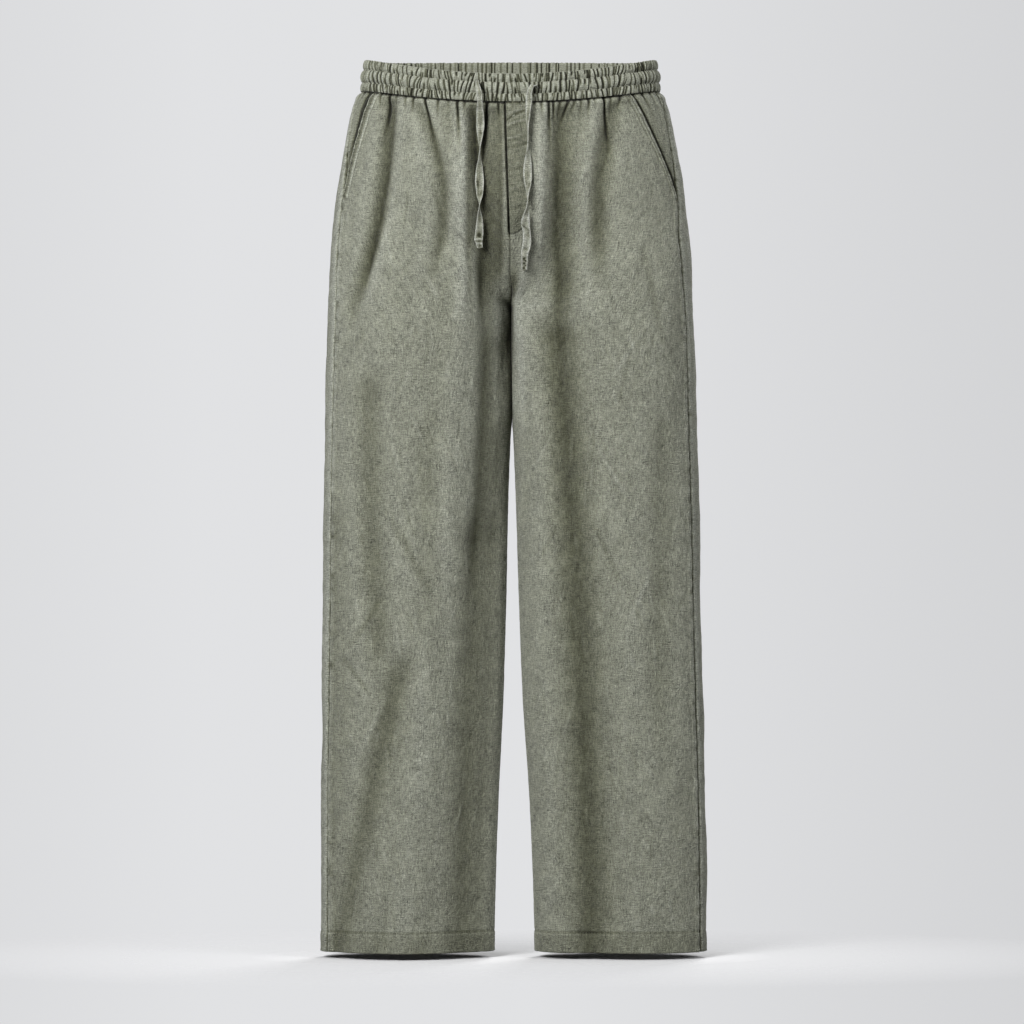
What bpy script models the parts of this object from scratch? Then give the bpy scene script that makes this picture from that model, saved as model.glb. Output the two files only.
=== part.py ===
"""Linen drawstring trousers, filled out as when worn, waist and hems open.

Units are metres and +Z is up. The front faces -Y, left and right are the wearer's, and the
wearer's left is at +X. The origin is the middle of the waist, level with the middle of the
waistband at the sides. "drop" is a depth below the origin. "u" runs round one half of the
garment: 0 at centre front or the inseam's front edge, about 0.5 at the side, and 1 at centre
back or the inseam's back edge.
"""
import bisect
import math
from collections import namedtuple

import bmesh
import bpy
from mathutils import Matrix, Vector

# ---------------------------------------------------------------- driving sizes
WALL = 0.0012              # cloth wall
HEM_WALL = 0.0023          # doubled cloth at the turned-up hem
HEM_DEPTH = 0.024          # turned-up hem
SEAM_U = 0.0005            # half of the gap between two panels at a seam, as a share of a half round
LEDGE = 0.0004             # clearance between a piece and the panel that it lies on

WAIST = 0.0187             # drop of the waist seam at the sides
FORK_TOP = 0.130           # where the rise curves begin to swing in
CROTCH = 0.270             # drop of the crotch point
MIDDLE_TOP = 0.110         # the panels' middles turn from body to leg between these drops
MIDDLE_BOTTOM = 0.310
EDGE_REACH = 0.085         # how far the rise curves' shape reaches into a panel, in u
BACK_STEP = 0.101          # below this a back panel has half as many columns
HEM = 1.029                # drop of the hem's edge

FRONT_DIP = -0.0190        # the waist seam at centre front, against the sides
BACK_RISE = 0.0062         # the same at centre back
TILT_END = 0.200           # the panels' rows are level from this drop on

FRONT_GATHERS = 11         # gathers under the waistband on each front panel
BACK_GATHERS = 14          # and on each back panel
GATHER_DEPTH = 0.0020
GATHER_LENGTH = 0.034
BAND_RIBS = 126            # ribs round the elastic waistband
BAND_HALF_HEIGHT = 0.0181  # at the sides
BAND_FRONT_HALF_HEIGHT = 0.0161
RIB_DEPTH = 0.0010

FACING_TUCK = 2            # columns of the front panel that a pocket facing runs in under
FACING_INSET = 0.0021      # depth of the facing's face under the front panel's face
FACING_RISE = 0.045        # share of u in which the facing comes up to the side seam's level
FACING_END = 0.144
POCKET_BOTTOM = 0.147      # drop of the lower end of a slanted pocket opening

FLY_WIDTH = 0.021
FLY_LEAD = 0.0055          # how far the fly's free edge passes centre front at the top
FLY_CURVE = 0.160          # where the fly's lower end begins to curve in
FLY_END = 0.190
FLAT_BY_FLY = {-1: FLY_LEAD + 0.001, 1: FLY_WIDTH + 0.001}   # no gathers nearer than this

TAPE_THICK = 0.0016        # drawstring tape

# ---------------------------------------------------------------- tables
# Half-widths to the wearer's right and left, and half-depths to the front and back: the
# body's at the middle, and the legs' at the middle of each leg.
Section = namedtuple("Section", "drop right left front back leg_front leg_back")
SECTIONS = (
    Section(0.000, 0.1780, 0.1745, 0.0955, 0.0965, 0.0830, 0.0850),
    Section(0.019, 0.1790, 0.1755, 0.0960, 0.0980, 0.0835, 0.0860),
    Section(0.027, 0.1838, 0.1804, 0.0970, 0.1000, 0.0840, 0.0880),
    Section(0.040, 0.1885, 0.1850, 0.0980, 0.1030, 0.0850, 0.0900),
    Section(0.062, 0.1930, 0.1900, 0.1000, 0.1070, 0.0870, 0.0930),
    Section(0.086, 0.1980, 0.1945, 0.1020, 0.1110, 0.0890, 0.0960),
    Section(0.120, 0.2030, 0.2002, 0.1040, 0.1150, 0.0900, 0.0990),
    Section(0.160, 0.2088, 0.2055, 0.1050, 0.1180, 0.0910, 0.1010),
    Section(0.215, 0.2145, 0.2110, 0.1045, 0.1185, 0.0910, 0.1010),
    Section(0.265, 0.2168, 0.2135, 0.1030, 0.1160, 0.0895, 0.0980),
    Section(0.330, 0.2190, 0.2158, 0.1010, 0.1120, 0.0860, 0.0930),
    Section(0.400, 0.2203, 0.2175, 0.1000, 0.1100, 0.0810, 0.0870),
    Section(0.500, 0.2215, 0.2203, 0.1000, 0.1100, 0.0740, 0.0800),
    Section(0.620, 0.2226, 0.2226, 0.1000, 0.1100, 0.0670, 0.0730),
    Section(0.740, 0.2238, 0.2255, 0.1000, 0.1100, 0.0610, 0.0680),
    Section(0.860, 0.2250, 0.2282, 0.1000, 0.1100, 0.0565, 0.0630),
    Section(1.029, 0.2250, 0.2298, 0.1000, 0.1100, 0.0520, 0.0580),
)

# Distance of each leg's inner edge from the middle.
Gap = namedtuple("Gap", "drop right left")
LEG_GAPS = (
    Gap(0.100, 0.0008, 0.0008),
    Gap(0.401, 0.0008, 0.0008),
    Gap(0.430, 0.0022, 0.0022),
    Gap(0.499, 0.0047, 0.0049),
    Gap(0.617, 0.0071, 0.0085),
    Gap(0.735, 0.0106, 0.0132),
    Gap(0.852, 0.0162, 0.0210),
    Gap(0.970, 0.0200, 0.0258),
    Gap(1.029, 0.0212, 0.0272),
)

# Where the side seams run, as u. Both lie a little to the front of the widest line.
SideSeam = namedtuple("SideSeam", "drop right left")
SIDE_SEAMS = (
    SideSeam(0.000, 0.4450, 0.4120),
    SideSeam(0.019, 0.4450, 0.4120),
    SideSeam(0.150, 0.4140, 0.4100),
    SideSeam(0.300, 0.4200, 0.4220),
    SideSeam(0.500, 0.4330, 0.4300),
    SideSeam(1.029, 0.4370, 0.4350),
)
POCKET_TOP = {-1: 0.365, 1: 0.293}     # u of the slanted edges at the waist seam, by side

# Long folds, a row each: the side (-1 right, 1 left), the face, the drops and distances from
# the middle of both ends, the half-width and the depth. A ridge has a negative depth.
Fold = namedtuple("Fold", "side face top x_top bottom x_bottom width depth")
FOLDS = (
    Fold(-1, "front", -0.030, 0.139, 0.290, 0.166, 0.0125, 0.0120),
    Fold(-1, "front", -0.030, 0.101, 0.200, 0.074, 0.0090, 0.0062),
    Fold(-1, "front", -0.010, 0.061, 0.340, 0.056, 0.0120, -0.0050),
    Fold(-1, "front", -0.030, 0.029, 0.330, 0.026, 0.0090, 0.0066),
    Fold(-1, "front", 0.190, 0.066, 1.080, 0.112, 0.0270, -0.0070),
    Fold(-1, "front", 0.300, 0.160, 0.640, 0.158, 0.0180, 0.0050),
    Fold(-1, "front", 0.380, 0.100, 0.760, 0.086, 0.0160, 0.0030),
    Fold(-1, "front", 0.560, 0.165, 0.960, 0.130, 0.0180, 0.0036),
    Fold(1, "front", -0.010, 0.042, 0.160, 0.040, 0.0070, -0.0036),
    Fold(1, "front", -0.030, 0.052, 0.360, 0.056, 0.0120, 0.0120),
    Fold(1, "front", -0.020, 0.082, 0.110, 0.084, 0.0070, 0.0030),
    Fold(1, "front", -0.030, 0.105, 0.270, 0.109, 0.0110, 0.0090),
    Fold(1, "front", 0.200, 0.053, 1.120, 0.096, 0.0190, 0.0115),
    Fold(1, "front", 0.240, 0.026, 1.060, 0.056, 0.0150, -0.0030),
    Fold(1, "front", 0.380, 0.176, 0.820, 0.172, 0.0170, 0.0034),
    Fold(-1, "back", -0.030, 0.036, 0.210, 0.042, 0.0120, 0.0060),
    Fold(-1, "back", -0.030, 0.082, 0.300, 0.094, 0.0120, 0.0085),
    Fold(-1, "back", -0.030, 0.127, 0.240, 0.146, 0.0110, 0.0070),
    Fold(-1, "back", 0.210, 0.056, 0.520, 0.120, 0.0180, 0.0085),
    Fold(-1, "back", 0.280, 0.092, 1.100, 0.104, 0.0240, -0.0050),
    Fold(-1, "back", 0.420, 0.150, 0.980, 0.138, 0.0200, 0.0048),
    Fold(1, "back", -0.030, 0.030, 0.190, 0.034, 0.0110, 0.0054),
    Fold(1, "back", -0.030, 0.071, 0.320, 0.084, 0.0120, 0.0090),
    Fold(1, "back", -0.020, 0.118, 0.230, 0.134, 0.0110, 0.0060),
    Fold(1, "back", 0.220, 0.062, 0.500, 0.128, 0.0180, 0.0080),
    Fold(1, "back", 0.260, 0.088, 1.100, 0.112, 0.0240, -0.0050),
    Fold(1, "back", 0.460, 0.074, 1.060, 0.076, 0.0180, 0.0052),
)
FOLD_RAMP = 0.060          # a fold deepens over this length from each end
SEAM_CALM = 0.022          # folds flatten this near a seam, as a share of u

# Rows of the panels from the waist seam down; the rise curves' rows come from FORK_ROWS.
TOP_DROPS = (WAIST, 0.0240, 0.0315, 0.0420, 0.0560, 0.0750, 0.1000, 0.1240, POCKET_BOTTOM)
FORK_ROWS = 7
LEG_DROPS = (0.2765, 0.290, 0.312, 0.342, 0.380, 0.424, 0.474, 0.530, 0.592, 0.656, 0.722,
             0.790, 0.860, 0.932)

# The waistband's outer face: height from -1 at its lower edge to 1 at its upper one, how far
# it stands out from the waistline, and how much of a rib it carries. Two rows of sewing nip it.
BandRow = namedtuple("BandRow", "height out rib")
BAND_ROWS = (
    BandRow(1.00, -0.0040, 0.30),
    BandRow(0.70, -0.0022, 1.00),
    BandRow(0.41, -0.0034, 0.40),
    BandRow(-0.02, 0.0006, -1.00),
    BandRow(-0.43, -0.0012, 0.40),
    BandRow(-0.72, 0.0000, 1.00),
    BandRow(-1.00, -0.0010, 0.50),
)
BAND_INSIDE_TOP = -0.0066
BAND_INSIDE_BOTTOM = -0.0040

# The drawstring's free ends, a row for each point that the tape's middle passes: its half
# width there, and how far it is turned about its own length, in degrees.
TapePoint = namedtuple("TapePoint", "x y z half turn")
TAPE_RIGHT = (
    TapePoint(-0.0392, -0.0980, -0.0150, 0.0036, 0),
    TapePoint(-0.0390, -0.1005, -0.0165, 0.0040, 0),
    TapePoint(-0.0385, -0.1015, -0.0230, 0.0046, 0),
    TapePoint(-0.0375, -0.1020, -0.0500, 0.0048, 6),
    TapePoint(-0.0372, -0.1045, -0.0740, 0.0038, 40),
    TapePoint(-0.0374, -0.1065, -0.0960, 0.0027, 74),
    TapePoint(-0.0380, -0.1070, -0.1230, 0.0048, 8),
    TapePoint(-0.0384, -0.1085, -0.1400, 0.0038, -36),
    TapePoint(-0.0386, -0.1095, -0.1535, 0.0026, -72),
    TapePoint(-0.0383, -0.1085, -0.1820, 0.0048, -6),
    TapePoint(-0.0388, -0.1085, -0.2050, 0.0042, 4),
)
TAPE_LEFT = (
    TapePoint(0.0262, -0.0985, -0.0150, 0.0030, 0),
    TapePoint(0.0246, -0.1010, -0.0165, 0.0032, 0),
    TapePoint(0.0212, -0.1022, -0.0240, 0.0036, 0),
    TapePoint(0.0192, -0.1035, -0.0420, 0.0042, 4),
    TapePoint(0.0182, -0.1060, -0.0680, 0.0036, 34),
    TapePoint(0.0178, -0.1080, -0.0900, 0.0026, 70),
    TapePoint(0.0166, -0.1080, -0.1130, 0.0042, 12),
    TapePoint(0.0176, -0.1100, -0.1370, 0.0034, -40),
    TapePoint(0.0182, -0.1110, -0.1570, 0.0027, -70),
    TapePoint(0.0148, -0.1105, -0.1830, 0.0046, -8),
    TapePoint(0.0172, -0.1115, -0.2030, 0.0036, 24),
    TapePoint(0.0146, -0.1105, -0.2290, 0.0042, 0),
)
TAPE_STEPS = 3             # sections between two points of a tape

# Colours are linear; roughness and metallic are those of dry linen.
LINEN = (0.245, 0.250, 0.195, 1.0)
TAPE_LINEN = (0.290, 0.292, 0.235, 1.0)
ROUGHNESS = 0.9


# ---------------------------------------------------------------- helpers
class Curve:
    """A smooth curve through one column of a table, read at any drop."""

    def __init__(self, rows, column, key="drop"):
        self.keys = [getattr(row, key) for row in rows]
        self.values = [getattr(row, column) for row in rows]
        rises = [(self.values[k + 1] - self.values[k]) / (self.keys[k + 1] - self.keys[k])
                 for k in range(len(rows) - 1)]
        self.slopes = [rises[0]]
        for before, after in zip(rises, rises[1:]):
            flat = before * after <= 0.0
            self.slopes.append(0.0 if flat else 2.0 * before * after / (before + after))
        self.slopes.append(rises[-1])

    def at(self, key):
        """The curve's value, held level past both ends."""
        key = min(max(key, self.keys[0]), self.keys[-1])
        k = min(bisect.bisect_right(self.keys, key), len(self.keys) - 1) - 1
        span = self.keys[k + 1] - self.keys[k]
        t = (key - self.keys[k]) / span
        return (self.values[k] * (1.0 + 2.0 * t) * (1.0 - t) ** 2
                + self.slopes[k] * span * t * (1.0 - t) ** 2
                + self.values[k + 1] * t * t * (3.0 - 2.0 * t)
                + self.slopes[k + 1] * span * t * t * (t - 1.0))


def by_side(rows):
    """Curves for a table that has a column for each side."""
    return {-1: Curve(rows, "right"), 1: Curve(rows, "left")}


HALF_WIDTH = by_side(SECTIONS)
FRONT_DEPTH = Curve(SECTIONS, "front")
BACK_DEPTH = Curve(SECTIONS, "back")
LEG_FRONT = Curve(SECTIONS, "leg_front")
LEG_BACK = Curve(SECTIONS, "leg_back")
LEG_GAP = by_side(LEG_GAPS)
SEAM_LINE = by_side(SIDE_SEAMS)


def smooth(t):
    """A soft step from 0 to 1."""
    t = min(max(t, 0.0), 1.0)
    return t * t * (3.0 - 2.0 * t)


def material(name, colour):
    """A plain dry cloth material."""
    made = bpy.data.materials.new(name)
    made.use_nodes = True
    shader = made.node_tree.nodes["Principled BSDF"]
    shader.inputs["Base Color"].default_value = colour
    shader.inputs["Roughness"].default_value = ROUGHNESS
    shader.inputs["Metallic"].default_value = 0.0
    made.diffuse_color = colour
    return made


def make_object(name, mesh_data, cloth):
    """An object for one piece, shaded smooth but for its cut edges."""
    mesh = bpy.data.meshes.new(name)
    mesh_data.to_mesh(mesh)
    mesh_data.free()
    mesh.shade_smooth()
    mesh.set_sharp_from_angle(angle=math.radians(50))
    mesh.materials.append(cloth)
    piece = bpy.data.objects.new(name, mesh)
    bpy.context.collection.objects.link(piece)
    return piece


# ---------------------------------------------------------------- the garment's form
def leg_share(u, drop):
    """0 where the section is the body's, 1 where it is a leg's.

    The panels' edges turn from body to leg along the rise curves, and their middles over a
    longer drop.
    """
    t = min(max((drop - FORK_TOP) / (CROTCH - FORK_TOP), 0.0), 1.0)
    at_edge = 1.0 - math.sqrt(1.0 - t * t)
    at_middle = smooth((drop - MIDDLE_TOP) / (MIDDLE_BOTTOM - MIDDLE_TOP))
    nearness = math.exp(-(min(abs(u), abs(1.0 - u)) / EDGE_REACH) ** 2)
    return at_middle + (at_edge - at_middle) * nearness


def tilt(u, front, back):
    """A height that goes from front, at centre front, through 0 at the side to back."""
    across = math.cos(math.pi * u)
    return (front if across > 0.0 else back) * across * across


def form(side, u, drop):
    """A point on the smooth outside of the garment, before gathers and folds."""
    half = HALF_WIDTH[side].at(drop)
    gap = LEG_GAP[side].at(drop)
    share = leg_share(u, drop)
    turn = math.pi * u
    body_depth = FRONT_DEPTH if math.cos(turn) > 0.0 else BACK_DEPTH
    leg_depth = LEG_FRONT if math.sin(2.0 * turn) > 0.0 else LEG_BACK
    body_x = half * math.sin(turn)
    body_y = -body_depth.at(drop) * math.cos(turn)
    leg_x = gap + 0.5 * (half - gap) * (1.0 - math.cos(2.0 * turn))
    leg_y = -leg_depth.at(drop) * math.sin(2.0 * turn)
    fade = 1.0 - smooth((drop - WAIST) / (TILT_END - WAIST))
    x = (1.0 - share) * body_x + share * leg_x
    y = (1.0 - share) * body_y + share * leg_y
    return Vector((side * x, y, -drop + fade * tilt(u, FRONT_DIP, BACK_RISE)))


def outward(side, u, drop):
    """The level direction that points out of the cloth."""
    step = 0.002
    along = form(side, u + step, drop) - form(side, u - step, drop)
    return Vector((side * along.y, -side * along.x, 0.0)).normalized()


def pocket_edge(side, drop):
    """u of the slanted pocket edge, which meets the side seam at its lower end."""
    t = min((drop - WAIST) / (POCKET_BOTTOM - WAIST), 1.0)
    start = POCKET_TOP[side]
    return start + (SEAM_LINE[side].at(drop) - start) * t ** 1.5


def panel_span(side, face, drop):
    """u at both edges of a front or back panel."""
    if face == "front":
        return SEAM_U, pocket_edge(side, drop) - SEAM_U
    return SEAM_LINE[side].at(drop) + SEAM_U, 1.0 - SEAM_U


def gather_relief(side, face, u, drop):
    """The small gathers under the waistband, uneven in depth and length."""
    start, end = panel_span(side, face, drop)
    across = (u - start) / (end - start)
    count = FRONT_GATHERS if face == "front" else BACK_GATHERS
    depth = GATHER_DEPTH * (0.72 + 0.28 * math.sin(2.3 * count * across + side))
    length = GATHER_LENGTH * (1.0 + 0.35 * math.sin(1.7 * count * across + 2.0 * side))
    fade = math.exp(-((drop - WAIST) / length) ** 2)
    edge = smooth(across / 0.08) * smooth((1.0 - across) / 0.08)
    if face == "front":
        from_middle = HALF_WIDTH[side].at(drop) * math.sin(math.pi * u)
        edge *= smooth((from_middle - FLAT_BY_FLY[side]) / 0.008)
    return depth * fade * edge * math.cos(2.0 * math.pi * count * across)


def fold_relief(side, face, point):
    """The long folds, read at a point of the smooth form."""
    drop = -point.z
    total = 0.0
    for fold in FOLDS:
        if fold.side != side or fold.face != face or not fold.top < drop < fold.bottom:
            continue
        t = (drop - fold.top) / (fold.bottom - fold.top)
        middle = fold.x_top + (fold.x_bottom - fold.x_top) * t
        across = (abs(point.x) - middle) / fold.width
        ends = smooth((drop - fold.top) / FOLD_RAMP) * smooth((fold.bottom - drop) / FOLD_RAMP)
        total -= fold.depth * ends * math.exp(-across * across)
    return total


def surface(side, u, drop):
    """A point on the outside of the cloth, with its gathers and folds."""
    point = form(side, u, drop)
    seam = SEAM_LINE[side].at(drop)
    face = "front" if u < seam else "back"
    nearest = min(abs(u), abs(u - seam), abs(1.0 - u))
    calm = smooth(nearest / SEAM_CALM)
    if u < 0.0 or u > 1.0 or calm == 0.0:
        return point
    relief = calm * (gather_relief(side, face, u, drop) + fold_relief(side, face, point))
    return point + relief * outward(side, u, drop)


# ---------------------------------------------------------------- cloth walls
def face_sum(middle, ring):
    """The summed normals of the cells round a point; ring lists its neighbours in turn."""
    total = Vector()
    for before, after in zip(ring, ring[1:] + ring[:1]):
        if before is not None and after is not None:
            total += (before - middle).cross(after - middle)
    return total.normalized()


def wall_points(grid, side, depth_of):
    """Outer and inner points of a cloth wall.

    grid holds the outer points with one extra column past each edge, which only steer the
    wall's direction there. depth_of gives the wall's thickness in each row.
    """
    outer, inner = [], []
    for row, points in enumerate(grid):
        above = grid[row - 1] if row > 0 else None
        below = grid[row + 1] if row + 1 < len(grid) else None
        outer_row, inner_row = [], []
        for column in range(1, len(points) - 1):
            middle = points[column]
            ring = [above[column] if above else None, points[column - 1],
                    below[column] if below else None, points[column + 1]]
            normal = face_sum(middle, ring) * side
            outer_row.append(middle)
            inner_row.append(middle - normal * depth_of(row))
        outer.append(outer_row)
        inner.append(inner_row)
    return outer, inner


def thin_out(rows, first_half_row):
    """Keeps every second point of the rows from first_half_row on."""
    return [row if k < first_half_row else row[::2] for k, row in enumerate(rows)]


def close_wall(name, outer, inner, side, cloth):
    """A closed solid between two sheets of points, with its edges filled."""
    bm = bmesh.new()
    sheets = [[[bm.verts.new(point) for point in row] for row in rows] for rows in (outer, inner)]
    lid = dict(zip((vert for row in sheets[0] for vert in row),
                   (vert for row in sheets[1] for vert in row)))
    faces = []
    for upper, lower in zip(sheets[0], sheets[0][1:]):
        if len(upper) == len(lower):
            for k in range(len(upper) - 1):
                faces.append((upper[k], lower[k], lower[k + 1], upper[k + 1]))
        else:
            for k in range(len(lower) - 1):
                faces.append((upper[2 * k], lower[k], upper[2 * k + 1]))
                faces.append((upper[2 * k + 1], lower[k], lower[k + 1]))
                faces.append((upper[2 * k + 1], lower[k + 1], upper[2 * k + 2]))
    if side < 0:
        faces = [face[::-1] for face in faces]
    rims = {}
    for face in faces:
        for start, end in zip(face, face[1:] + face[:1]):
            if (end, start) in rims:
                del rims[(end, start)]
            else:
                rims[(start, end)] = True
    for face in faces:
        bm.faces.new(face)
        bm.faces.new([lid[vert] for vert in reversed(face)])
    for start, end in rims:
        bm.faces.new((end, start, lid[start], lid[end]))
    return make_object(name, bm, cloth)


# ---------------------------------------------------------------- the pieces
def panel_drops():
    """The drops of a panel's rows, from the waist seam to the hem's edge."""
    rise = [FORK_TOP + (CROTCH - FORK_TOP) * math.sin(0.5 * math.pi * k / FORK_ROWS)
            for k in range(1, FORK_ROWS + 1)]
    fold_line = HEM - HEM_DEPTH
    return list(TOP_DROPS) + rise + list(LEG_DROPS) + [fold_line - 0.001, fold_line, HEM]


def make_panel(name, side, face, cloth):
    """A front or back panel, cut from the waist seam to the turned-up hem."""
    drops = panel_drops()
    columns = 2 * (FRONT_GATHERS if face == "front" else BACK_GATHERS)
    grid = []
    for drop in drops:
        start, end = panel_span(side, face, drop)
        step = (end - start) / columns
        grid.append([surface(side, start + step * k, drop) for k in range(-1, columns + 2)])
    outer, inner = wall_points(
        grid, side, lambda row: HEM_WALL if drops[row] >= HEM - HEM_DEPTH else WALL)
    if face == "back":
        first_half_row = next(k for k, drop in enumerate(drops) if drop > BACK_STEP)
        outer, inner = thin_out(outer, first_half_row), thin_out(inner, first_half_row)
    return close_wall(name, outer, inner, side, cloth)


def make_facing(name, side, cloth):
    """The hip piece that shows in a slanted pocket opening, set in under the front panel."""
    shown = 3
    grid = []
    for drop in TOP_DROPS[:-1] + (FACING_END,):
        first, edge = panel_span(side, "front", drop)
        step = (edge - first) / (2 * FRONT_GATHERS)
        rest = (SEAM_LINE[side].at(drop) - SEAM_U - edge) / shown
        places = [edge + step * k for k in range(-FACING_TUCK - 1, 1)]
        places += [edge + rest * k for k in range(1, shown + 2)]
        row = []
        for u in places:
            inset = FACING_INSET + (LEDGE - FACING_INSET) * smooth((u - edge) / FACING_RISE)
            row.append(surface(side, u, drop) - inset * outward(side, u, drop))
        grid.append(row)
    outer, inner = wall_points(grid, side, lambda row: WALL)
    return close_wall(name, outer, inner, side, cloth)


def on_panels(x, drop):
    """A point and its outward direction on the flat cells of the front panels at any x."""
    side = 1 if x >= 0.0 else -1
    drops = panel_drops()
    lower = next(k for k, row_drop in enumerate(drops) if row_drop >= drop)
    upper = max(lower - 1, 0)
    ends = []
    for row_drop in (drops[upper], drops[lower]):
        u = math.asin(abs(x) / HALF_WIDTH[side].at(row_drop)) / math.pi
        ends.append((surface(side, u, row_drop), outward(side, u, row_drop)))
    span = drops[lower] - drops[upper]
    share = (drop - drops[upper]) / span if span > 0.0 else 0.0
    return ends[0][0].lerp(ends[1][0], share), ends[0][1].lerp(ends[1][1], share)


def make_fly(name, cloth):
    """The mock fly, a flap that lies on the front panels with its free edge at centre front."""
    columns = 5
    drops = [drop for drop in panel_drops() if drop < FLY_END - 0.002]
    drops += [FLY_CURVE + (FLY_END - FLY_CURVE) * math.sin(0.1 * math.pi * k) for k in range(1, 6)]
    drops.sort()
    grid = []
    for drop in drops:
        curve = max((drop - FLY_CURVE) / (FLY_END - FLY_CURVE), 0.0)
        lead = FLY_LEAD * (FLY_END - drop) / (FLY_END - WAIST)
        width = 0.001 + (FLY_WIDTH - 0.001) * math.sqrt(max(1.0 - curve * curve, 0.0))
        points = []
        for k in range(-1, columns + 2):
            point, away = on_panels(-lead + (width + lead) * k / columns, drop)
            points.append(point + (LEDGE + WALL) * away)
        grid.append(points)
    outer, inner = wall_points(grid, 1, lambda row: WALL)
    return close_wall(name, outer, inner, 1, cloth)


def make_waistband(name, cloth):
    """The elastic band: ribs raised on its outside over a plain inside."""
    count = 2 * BAND_RIBS
    bm = bmesh.new()
    sections = []
    for k in range(count):
        turn = k / count
        side = 1 if turn < 0.5 else -1
        u = 2.0 * turn if side > 0 else 2.0 - 2.0 * turn
        base = form(side, u, 0.0)
        away = outward(side, u, 0.0)
        facing_front = max(math.cos(math.pi * u), 0.0) ** 2
        half_height = (BAND_HALF_HEIGHT
                       + (BAND_FRONT_HALF_HEIGHT - BAND_HALF_HEIGHT) * facing_front)
        level = tilt(u, FRONT_DIP - BAND_HALF_HEIGHT + BAND_FRONT_HALF_HEIGHT, BACK_RISE)
        rib = 1.0 if k % 2 == 0 else -1.0
        depth = RIB_DEPTH * (0.75 + 0.25 * math.sin(0.37 * k))
        section = []
        for row in BAND_ROWS:
            out = row.out + depth * rib * row.rib
            section.append((out, row.height))
        section.append((BAND_INSIDE_BOTTOM, -1.0))
        section.append((BAND_INSIDE_TOP, 1.0))
        sections.append([
            bm.verts.new((base.x + away.x * out, base.y + away.y * out,
                          level + height * half_height))
            for out, height in section])
    size = len(sections[0])
    for k in range(count):
        here, there = sections[k], sections[(k + 1) % count]
        for row in range(size):
            after = (row + 1) % size
            bm.faces.new((here[row], here[after], there[after], there[row]))
    return make_object(name, bm, cloth)


def make_tape(name, route, cloth):
    """One free end of the drawstring, a flat tape swept along its route."""
    rows = [row._asdict() | {"place": k} for k, row in enumerate(route)]
    Place = namedtuple("Place", "place " + " ".join(TapePoint._fields))
    table = [Place(**row) for row in rows]
    curves = {field: Curve(table, field, key="place") for field in TapePoint._fields}
    places = [k / TAPE_STEPS for k in range((len(route) - 1) * TAPE_STEPS + 1)]
    middles = [Vector((curves["x"].at(p), curves["y"].at(p), curves["z"].at(p))) for p in places]
    bm = bmesh.new()
    sections = []
    for k, place in enumerate(places):
        ahead = middles[min(k + 1, len(middles) - 1)] - middles[max(k - 1, 0)]
        ahead.normalize()
        across = (Vector((1.0, 0.0, 0.0)) - ahead * ahead.x).normalized()
        turn = Matrix.Rotation(math.radians(curves["turn"].at(place)), 3, ahead)
        across = (turn @ across) * curves["half"].at(place)
        through = ahead.cross(across).normalized() * (0.5 * TAPE_THICK)
        sections.append([bm.verts.new(middles[k] + across * a + through * b)
                         for a, b in ((-1, -1), (1, -1), (1, 1), (-1, 1))])
    for here, there in zip(sections, sections[1:]):
        for corner in range(4):
            after = (corner + 1) % 4
            bm.faces.new((here[corner], here[after], there[after], there[corner]))
    bm.faces.new(sections[0][::-1])
    bm.faces.new(sections[-1])
    return make_object(name, bm, cloth)


def build():
    """Clears the scene and makes every piece."""
    for old in list(bpy.data.objects):
        bpy.data.objects.remove(old, do_unlink=True)
    linen = material("linen", LINEN)
    tape = material("tape_linen", TAPE_LINEN)
    for side, wearer in ((-1, "right"), (1, "left")):
        make_panel("front_" + wearer, side, "front", linen)
        make_panel("back_" + wearer, side, "back", linen)
        make_facing("pocket_facing_" + wearer, side, linen)
    make_fly("fly_flap", linen)
    make_waistband("waistband", linen)
    make_tape("drawstring_right", TAPE_RIGHT, tape)
    make_tape("drawstring_left", TAPE_LEFT, tape)


build()
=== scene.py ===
"""Linen drawstring trousers: cloth, sewing and drawstring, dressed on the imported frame.

Units are metres, but millimetres in the tables made with in_mm. +Z is up and the front faces
-Y. Left and right are the wearer's, and the wearer's left is at +X. "drop" is a depth below
the middle of the waist. "u" runs round one half of the garment: 0 at centre front or the
inseam's front edge, about 0.5 at the side, and 1 at centre back or the inseam's back edge.
"run" is the way along a row of a piece of cloth.
"""

import math
import random
from collections import namedtuple

import bmesh
import bpy
import numpy as np
from mathutils import Matrix, Vector, noise


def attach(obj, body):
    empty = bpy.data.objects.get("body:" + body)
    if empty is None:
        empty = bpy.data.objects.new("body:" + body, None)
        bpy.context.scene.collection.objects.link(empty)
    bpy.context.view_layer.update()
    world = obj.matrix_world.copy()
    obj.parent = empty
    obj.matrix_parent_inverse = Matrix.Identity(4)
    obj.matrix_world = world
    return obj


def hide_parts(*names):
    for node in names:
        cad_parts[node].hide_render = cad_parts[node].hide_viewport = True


def table(kind, rows):
    """Rows of values as named tuples."""
    return tuple(kind(*row) for row in rows)


def in_mm(kind, rows, others=""):
    """The same from rows in millimetres, apart from the columns named in others."""
    scale = [1.0 if name in others.split() else 1000.0 for name in kind._fields]
    return table(kind, [[value if unit == 1.0 else value / unit for value, unit in zip(row, scale)]
                        for row in rows])


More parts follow.
